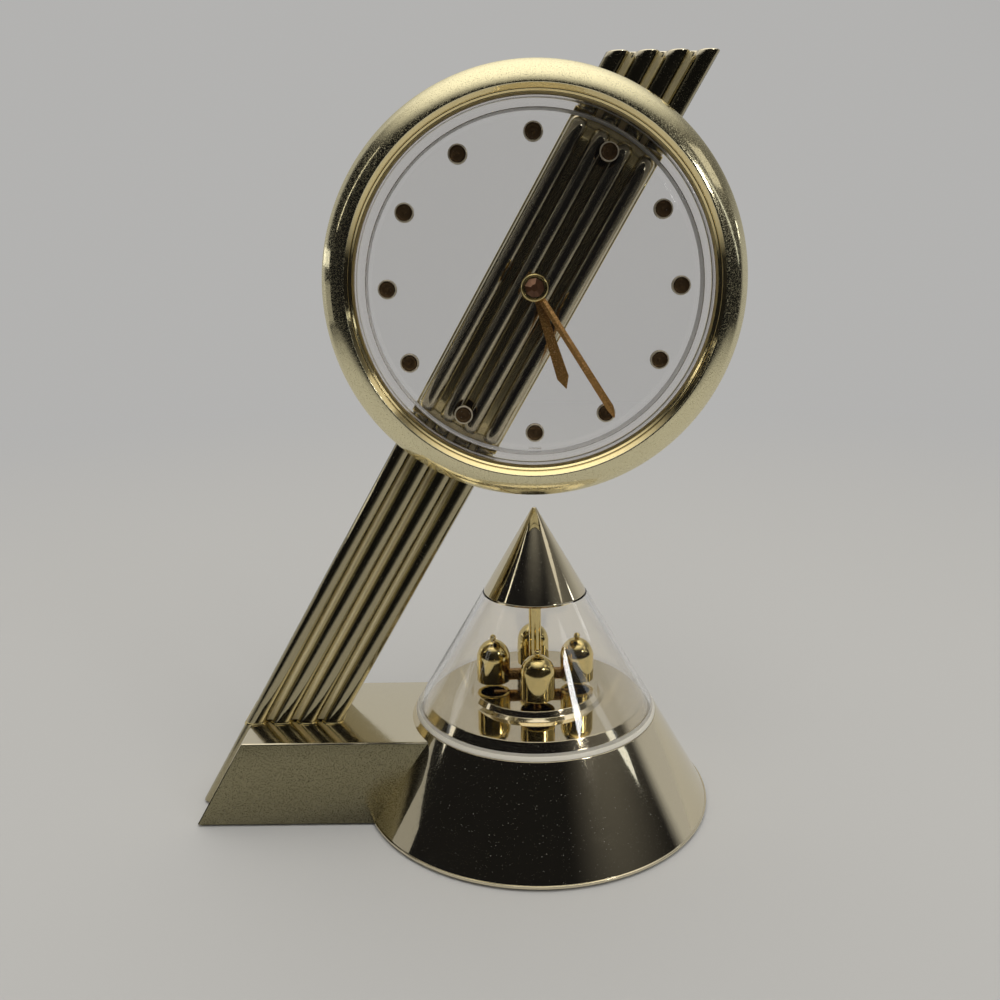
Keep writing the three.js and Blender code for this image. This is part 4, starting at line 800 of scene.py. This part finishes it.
def bridge_plate():
    half = BRIDGE_HALF_WIDTH
    inner = half - POST_WALL
    front = BRIDGE_FRONT_Y
    outline = softened([
        (-half, POST_BACK_Y, 0.3),
        (-half, front),
        (half, front),
        (half, POST_BACK_Y, 0.3),
        (inner, POST_BACK_Y),
        (inner, front + POST_WALL),
        (-inner, front + POST_WALL),
        (-inner, POST_BACK_Y),
    ])
    bm = outlined(outline, lambda x, y: Vector((x, y, -BRIDGE_HALF)), Vector((0, 0, 2 * BRIDGE_HALF)))
    return bevelled(bm, edges_at(sharp_edges(bm, 40), 1, front), 0.4, 3)


ribs = [(bridge_rib(middle), 0) for middle in RIB_MIDDLES]
bridge = together((bridge_plate(), 1), *ribs)
leaned(bridge)
piece("bridge", bridge, [bridge_gold, edge_gold], "clock_body", "dial_bridge", sharp=25)

# Ring head
front_ring = softened([
    (75.0, -20.2),
    (75.0, -22.45, 0.8),
    *curve((74.85, -22.68), (73.13, -25.32), (70.56, -27.42), (67.6, -28.5), 32),
    (66.57, -28.88, 0.45),
    (65.15, -27.35, 0.1),
    (65.0, -26.85, 0.1),
    (64.7, -26.8, 0.1),
    (63.45, -25.55, 0.15),
    (63.3, -25.2),
    (63.3, -19.0),
    (65.2, -19.0),
    (65.2, -22.8),
    (68.2, -23.6),
    *arc(69.0, -20.2, 4.1, 6.6, -90, 0, 8),
])
ring = spun(front_ring, DIAL)
for face in ring.faces:
    away = face.calc_center_median() - DIAL
    face.material_index = 1 if math.hypot(away.x, away.z) < LIP_R * MM else 0
piece("front_ring", ring, [ring_gold, lip_gold], "clock_body", "bezel_ring", sharp=28)

back_ring = softened([
    (75.0, -19.9, 0.2),
    *arc(72.6, -16.7, 2.4, 4.8, 0, 90, 12),
    (63.4, -11.9, 0.3),
    (63.4, -13.4),
    (65.5, -13.4),
    (65.5, -19.9, 0.2),
    (67.3, -19.9, 0.2),
    (67.3, -13.4),
    (70.7, -13.4),
    (73.1, -16.7),
    (73.1, -19.9),
])
piece("back_ring", spun(back_ring, DIAL), ring_gold, "clock_body", "rear_ring", sharp=28)

crystal_outline = softened([
    (0, -26.5),
    (CRYSTAL_R, -26.5, 0.5),
    (CRYSTAL_R, -18.7),
    (65.2, -18.7),
    (65.2, -16.0),
    (CRYSTAL_INNER_R, -16.0, 0.2),
    (CRYSTAL_INNER_R, -24.9, 0.7),
    (0, -24.9),
])
crystal_tab = moved(block((-2.4, -18.4, -59.3), (2.4, -16.0, -58.2)), Matrix.Translation(DIAL))
bevelled(crystal_tab, crystal_tab.edges[:], 0.25, 2)
pane = spun(crystal_outline, DIAL, closed=False)
for face in pane.faces:
    away = face.calc_center_median() - DIAL
    reach = math.hypot(away.x, away.z) / MM
    inner_side = abs(reach - CRYSTAL_INNER_R) < 0.1 and abs(face.normal.y) < 0.5
    outer_side = reach > CRYSTAL_R - 0.1
    beyond_pane = reach > CRYSTAL_INNER_R - 0.1
    face.material_index = 2 if inner_side or outer_side else 1 if beyond_pane else 0
glass = together((pane, None), crystal_tab)
piece("front_glass", glass, [crystal_clear, crystal_edge, crystal_rim], "clock_body", "crystal", sharp=28)

# Hour markers: a small cup with a raised middle and a pale rim
marker_face = DIAL_FRONT_Y - 0.3
marker_profile = softened([
    (0, marker_face - 0.95),
    (0.45, marker_face - 1.0, 0.2),
    (0.7, marker_face - 0.6, 0.2),
    (2.2, marker_face - 0.7, 0.4),
    (2.65, marker_face - 1.45, 0.15),
    (2.8, marker_face - 1.7, 0.12),
    (2.9, marker_face - 1.69),
], 3)
rim_profile = softened([
    (2.9, marker_face - 1.69),
    (3.35, marker_face - 1.65, 0.25),
    (3.45, marker_face - 1.2, 0.2),
], 3)
cup_profile = softened([
    (3.45, marker_face - 1.2),
    (3.45, marker_face, 0.1),
    (1.0, marker_face),
    (1.0, MARKER_BACK_Y),
    (0, MARKER_BACK_Y),
], 3)
for i in range(1, 13):
    angle = 2 * math.pi * i / 12
    place = DIAL + Vector((math.sin(angle), 0, math.cos(angle))) * MARKER_CIRCLE_R * MM
    parts = [(marker_profile, 0), (rim_profile, 1), (cup_profile, 0)]
    turned = [(spun(p, place, steps=ROUND_SMALL, closed=False), n) for p, n in parts]
    bm = tidied(together(*turned))
    piece(f"marker_{i:02d}", bm, [marker_bronze, marker_rim], "clock_body", f"hour_marker_{i:02d}")


# Hands
def creased_blade(right_side, left_side, back_y, stations, lines):
    """A flat blade whose front is drawn forward along lines that run down its middle."""
    outline = right_side + left_side[::-1]
    bm = outlined(outline, lambda x, s: Vector((x, back_y, s)), Vector((0, -HAND_THICK, 0)))
    for level in stations:
        bmesh.ops.bisect_plane(bm, geom=everything(bm), plane_co=(0, 0, level * MM), plane_no=(0, 0, 1))
    bmesh.ops.bisect_plane(bm, geom=everything(bm), plane_co=(0, 0, 0), plane_no=(1, 0, 0))
    front = (back_y - HAND_THICK) * MM
    for vert in bm.verts:
        if abs(vert.co.x) < 1e-6 and abs(vert.co.y - front) < 1e-6:
            for start, end, first, last in lines:
                if start - 0.01 <= vert.co.z / MM <= end + 0.01:
                    share = (vert.co.z / MM - start) / (end - start)
                    vert.co.y -= (first + (last - first) * share) * MM
                    break
    return bevelled(bm, sharp_edges(bm, 50), 0.09, 2)


def hub_disc(back_y, radius, bore):
    front_y = back_y - HAND_THICK
    outline = softened([(bore, back_y), (radius, back_y, 0.1), (radius, front_y, 0.12), (bore, front_y)])
    return spun(outline, Vector(), steps=ROUND_SMALL)


def hand(name, blade, disc, turn, body, cad_node):
    bm = together(blade, disc)
    moved(bm, Matrix.Translation(DIAL) @ rotation(turn, "Y"))
    piece(name, bm, hand_bronze, body, cad_node, sharp=20)


hour_blade = creased_blade(
    [(1.35, 3.2), (2.2, 33.8), (0.12, 38.0)],
    [(-1.35, 3.2), (-2.2, 33.8), (-0.12, 38.0)],
    HOUR_HAND_Y,
    [5.3, 33.8],
    [(5.3, 33.8, 0.45, 0.45), (33.8, 38.0, 0.45, 0.05)],
)
hour_disc = hub_disc(HOUR_HAND_Y, 4.2, 2.8)
hand("hour_pointer", hour_blade, hour_disc, HOUR_TURN, "hour_group", "hour_hand")
minute_blade = creased_blade(
    [(1.25, 2.4), (1.4, 51.1), (0.85, 55.0)],
    [(-1.25, 2.4), (-1.4, 51.1), (0.35, 55.0)],
    MINUTE_HAND_Y,
    [5.0, 5.45, 51.1],
    [(5.0, 5.45, 0.0, 0.45), (5.45, 51.1, 0.45, 0.45), (51.1, 55.0, 0.45, 0.2)],
)
minute_disc = hub_disc(MINUTE_HAND_Y, 4.2, 1.9)
hand("minute_pointer", minute_blade, minute_disc, MINUTE_TURN, "minute_group", "minute_hand")

# Boss and jewel
boss_profile = softened([
    (0, CAP_Y),
    (5.0, CAP_Y, 0.3),
    *curve((5.0, CAP_FRONT_Y + 1.9), (5.0, CAP_FRONT_Y + 0.9), (4.8, CAP_FRONT_Y), (4.15, CAP_FRONT_Y), 10),
    (4.0, CAP_FRONT_Y + 0.45, 0.1),
    (3.8, CAP_FRONT_Y + 0.3, 0.1),
    (3.8, CAP_FRONT_Y + 1.4),
    (0, CAP_FRONT_Y + 1.4),
])
boss = spun(boss_profile, DIAL, steps=96, closed=False)
piece("boss", boss, weight_gold, "minute_group", "hand_boss")

jewel = bmesh.new()
bmesh.ops.create_cone(jewel, cap_ends=True, segments=8, radius1=3.5 * MM, radius2=1.3 * MM, depth=0.8 * MM)
girdle = [f for f in jewel.faces if f.normal.z < -0.9]
extruded(jewel, girdle, Vector((0, 0, -0.2)))
bmesh.ops.delete(jewel, geom=girdle, context="FACES_ONLY")
bmesh.ops.recalc_face_normals(jewel, faces=jewel.faces[:])
jewel_place = Matrix.Translation(DIAL + Vector((0, (CAP_FRONT_Y + 0.5) * MM, 0)))
moved(jewel, jewel_place @ rotation(JEWEL_TURN, "Y") @ rotation(90, "X"))
# The slanted facet at the upper left takes the second material: a painted copper reflection
for face in jewel.faces:
    offset = face.calc_center_median() - DIAL
    slanted = -0.99 < face.normal.y < -0.3
    face.material_index = 1 if slanted and offset.x < 0 and offset.z > abs(offset.x) * 0.5 else 0
piece("jewel", jewel, [jewel_dark, jewel_painted_copper_reflection], "minute_group", "boss_jewel", sharp=5)

# Rotary pendulum
PENDULUM = Matrix.Translation(CONE) @ rotation(PENDULUM_TURN, "Z")
weight_profile = [
    (0, 54.4),
    *softened([
        (5.3, 54.4),
        (5.3, WEIGHT_BOTTOM_Z, 0.25),
        (WEIGHT_R, WEIGHT_BOTTOM_Z, 0.3),
        (WEIGHT_R, 52),
    ])[:-1],
    *arc(0, 59.4, WEIGHT_R, 7.8, 0, 83.6, 24),
    *arc(0, 68.2, 1.3, 1.3, -50, 90, 14),
]
for i, side in enumerate(("right", "rear", "left", "front")):
    weight = spun(weight_profile, Vector(), upright=True, steps=96, closed=False)
    moved(weight, PENDULUM @ rotation(90 * i, "Z") @ Matrix.Translation((WEIGHT_REACH * MM, 0, 0)))
    piece(f"bullet_{side}", weight, weight_gold, "pendulum", f"weight_{side}")

tube_profile = softened([
    (0, 100.0),
    (2.5, 100.0, 0.4),
    (2.5, 47.4, 0.2),
    (1.5, 47.4),
    (1.5, 97.3),
    (0, 97.3),
])
tube = moved(spun(tube_profile, Vector(), upright=True, steps=ROUND_SMALL, closed=False), PENDULUM)
piece("tube", tube, weight_gold, "pendulum", "pendulum_tube")

arms = []
for turn in (0, 90):
    arm = block((-WEIGHT_REACH, -1.5, WEIGHT_BOTTOM_Z), (WEIGHT_REACH, 1.5, HUB_TOP_Z))
    bevelled(arm, arm.edges[:], 0.4, 3)
    arms.append(moved(arm, rotation(turn, "Z")))
hub_profile = softened([
    (2.8, WEIGHT_BOTTOM_Z),
    (5.0, WEIGHT_BOTTOM_Z, 0.4),
    (5.0, HUB_TOP_Z, 0.5),
    (3.6, HUB_TOP_Z, 0.2),
    (2.8, 54.8, 0.1),
])
hub = together(*arms, spun(hub_profile, Vector(), upright=True, steps=ROUND_SMALL))
piece("hub", moved(hub, PENDULUM), bronze, "pendulum", "pendulum_hub")


# Feet and screws
def middle_below(low, high):
    return Vector(((low.x + high.x) / 2, (low.y + high.y) / 2, 0))


foot_profile = softened([(0, 0.0), (4.2, 0.0, 0.3), (4.5, 0.8, 0.2), (0, 0.8)])
for i in range(1, 5):
    low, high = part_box(f"foot_{i}")
    foot = spun(foot_profile, middle_below(low, high), upright=True, steps=ROUND_SMALL, closed=False)
    piece(f"pad_{i}", foot, rubber, "clock_body", f"foot_{i}")
screw_profile = softened([
    (0, 1.7),
    (1.3, 1.5),
    (1.5, 1.1, 0.1),
    (2.9, 1.1, 0.3),
    (2.9, 2.3),
    (1.4, 2.3),
    (1.4, 11.1),
    (0, 12.1),
])
for i in range(1, 4):
    low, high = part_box(f"plate_screw_{i}")
    screw = spun(screw_profile, middle_below(low, high), upright=True, steps=32, closed=False)
    piece(f"screw_{i}", screw, steel, "clock_body", f"plate_screw_{i}")


# Floor, sky and lamps
BACKDROP = (0.45, 0.446, 0.437, 1)
UNLIT = (0.010, 0.010, 0.011, 1)
RIGHT_GLOW = (0.13, 0.125, 0.115, 1)
CEILING = (1.42, 1.38, 1.28, 1)
FLOOR = (0.52, 0.516, 0.507, 1)
# The floor's colour towards the camera: painted shade
FLOOR_PAINTED_SHADE_IN_FRONT = (0.05, 0.05, 0.052, 1)
LAMP_AIM = Vector((AXIS_X - 0.01, 0, 0.12))
LAMP_DISTANCE = 1.1

# The photograph's view. Its place counts from the cone's axis in metres, and its turns are in degrees.
CAMERA_PLACE = (-0.01052, -0.36539, 0.21539)
CAMERA_LEFT = 0.459
CAMERA_DOWN = 13.734
CAMERA_ROLL = -0.858


def axes(tree, vector):
    parts = node(tree, "ShaderNodeSeparateXYZ")
    tree.links.new(vector, parts.inputs["Vector"])
    return parts.outputs


def studio_tone(tree, way):
    """The studio's own tone in a direction: pale behind the clock, unlit behind the camera."""
    flat = vector_math(tree, "MULTIPLY", way, (1, 1, 0))["Vector"]
    level = vector_math(tree, "NORMALIZE", flat)["Vector"]
    across = vector_math(tree, "DOT_PRODUCT", level, (0.1, 1, 0))["Value"]
    return mixed(tree, spread(tree, across, 0.10, 0.32), tone(tree, UNLIT), tone(tree, BACKDROP))


def pale_floor():
    """A pale floor that runs on into the backdrop behind, and into the unlit studio in front."""
    bm = bmesh.new()
    bmesh.ops.create_circle(bm, cap_ends=True, segments=96, radius=6)
    mesh = bpy.data.meshes.new("floor")
    bm.to_mesh(mesh)
    bm.free()
    floor = placed("floor", mesh)
    material, tree, shader = new_material("floor_pale")
    shader.inputs["Roughness"].default_value = 0.6
    shader.inputs["Specular IOR Level"].default_value = 0.1
    place = node(tree, "ShaderNodeTexCoord").outputs["Object"]
    # Towards the camera the floor's own colour darkens: painted shade, under the unlit studio in front
    front = spread(tree, axes(tree, place)["Y"], -0.2, -0.5)
    paper_and_painted_shade = mixed(tree, front, tone(tree, FLOOR), tone(tree, FLOOR_PAINTED_SHADE_IN_FRONT))
    tree.links.new(paper_and_painted_shade, shader.inputs["Base Color"])
    far = spread(tree, vector_math(tree, "LENGTH", place)["Value"], 0.3, 1.2)
    glow = node(tree, "ShaderNodeEmission")
    tree.links.new(studio_tone(tree, place), glow.inputs["Color"])
    blended(tree, far, shader.outputs["BSDF"], glow.outputs["Emission"])
    mesh.materials.append(material)


def studio_sky():
    """A soft pale ceiling over the clock, and a weak glow on the right between it and the horizon."""
    world = bpy.data.worlds.new("studio")
    bpy.context.scene.world = world
    world.use_nodes = True
    tree = world.node_tree
    way = node(tree, "ShaderNodeTexCoord").outputs["Generated"]
    parts = axes(tree, way)
    right = spread(tree, parts["X"], 0.3, 0.9)
    raised = spread(tree, parts["Z"], 0.08, 0.5)
    beside = computed(tree, "MULTIPLY", right, raised)
    lower = mixed(tree, beside, studio_tone(tree, way), tone(tree, RIGHT_GLOW))
    ceiling = spread(tree, parts["Z"], 0.62, 1.0)
    whole = mixed(tree, ceiling, lower, tone(tree, CEILING))
    tree.links.new(whole, tree.nodes["Background"].inputs["Color"])


def lamp(name, azimuth, elevation, size, radiance, color=(1, 1, 1), roll=0.0):
    """A flat lamp that faces the clock. Azimuth 0 is behind the clock and 90 to its right."""
    a = math.radians(azimuth)
    e = math.radians(elevation)
    way = Vector((math.sin(a) * math.cos(e), math.cos(a) * math.cos(e), math.sin(e)))
    light = bpy.data.lights.new(name, "AREA")
    light.shape = "RECTANGLE"
    light.size = size[0]
    light.size_y = size[1]
    light.energy = radiance * math.pi * size[0] * size[1]
    light.color = color
    made = placed(name, light)
    made.location = LAMP_AIM + way * LAMP_DISTANCE
    turned = (-way).to_track_quat("-Z", "Y").to_matrix() @ Matrix.Rotation(math.radians(roll), 3, "Z")
    made.rotation_euler = turned.to_euler()
    made.visible_camera = False


def overall_light():
    """A wide soft light from above and in front. It lights matt surfaces and isn't seen in the plating."""
    light = bpy.data.lights.new("overall", "SUN")
    light.energy = 1.15
    light.angle = math.radians(60)
    made = placed("overall", light)
    made.rotation_euler = (math.radians(32), 0, math.radians(18))
    made.visible_glossy = False
    made.visible_transmission = False


def camera():
    data = bpy.data.cameras.new("camera")
    data.lens = 34.2
    data.sensor_width = 36
    made = placed("camera", data)
    x, y, z = CAMERA_PLACE
    aim = rotation(CAMERA_LEFT, "Z") @ rotation(90 - CAMERA_DOWN, "X")
    made.matrix_world = Matrix.Translation((AXIS_X + x, y, z)) @ aim @ rotation(CAMERA_ROLL, "Z")
    bpy.context.scene.camera = made


camera()
pale_floor()
studio_sky()
overall_light()
lamp("left_window", -78, 12.5, (0.55, 0.09), 1.0)
lamp("left_low", -84, 0, (0.5, 0.22), 0.30, (1, 0.98, 0.92))
lamp("left_strip", -108, 32, (0.035, 0.5), 1.5, (1, 0.96, 0.86), roll=-25)
lamp("right_window", 113, 21, (0.05, 0.77), 1.0, (0.93, 0.97, 1), roll=55)
lamp("right_panel", 104, 35, (0.38, 0.24), 0.6, (1, 0.96, 0.88))
lamp("right_glint", 84, 17.5, (0.05, 0.09), 3.0, (0.95, 0.98, 1))
lamp("streak", 134, 26.2, (0.12, 0.12), 12)

scene = bpy.context.scene
scene.view_settings.view_transform = "Standard"
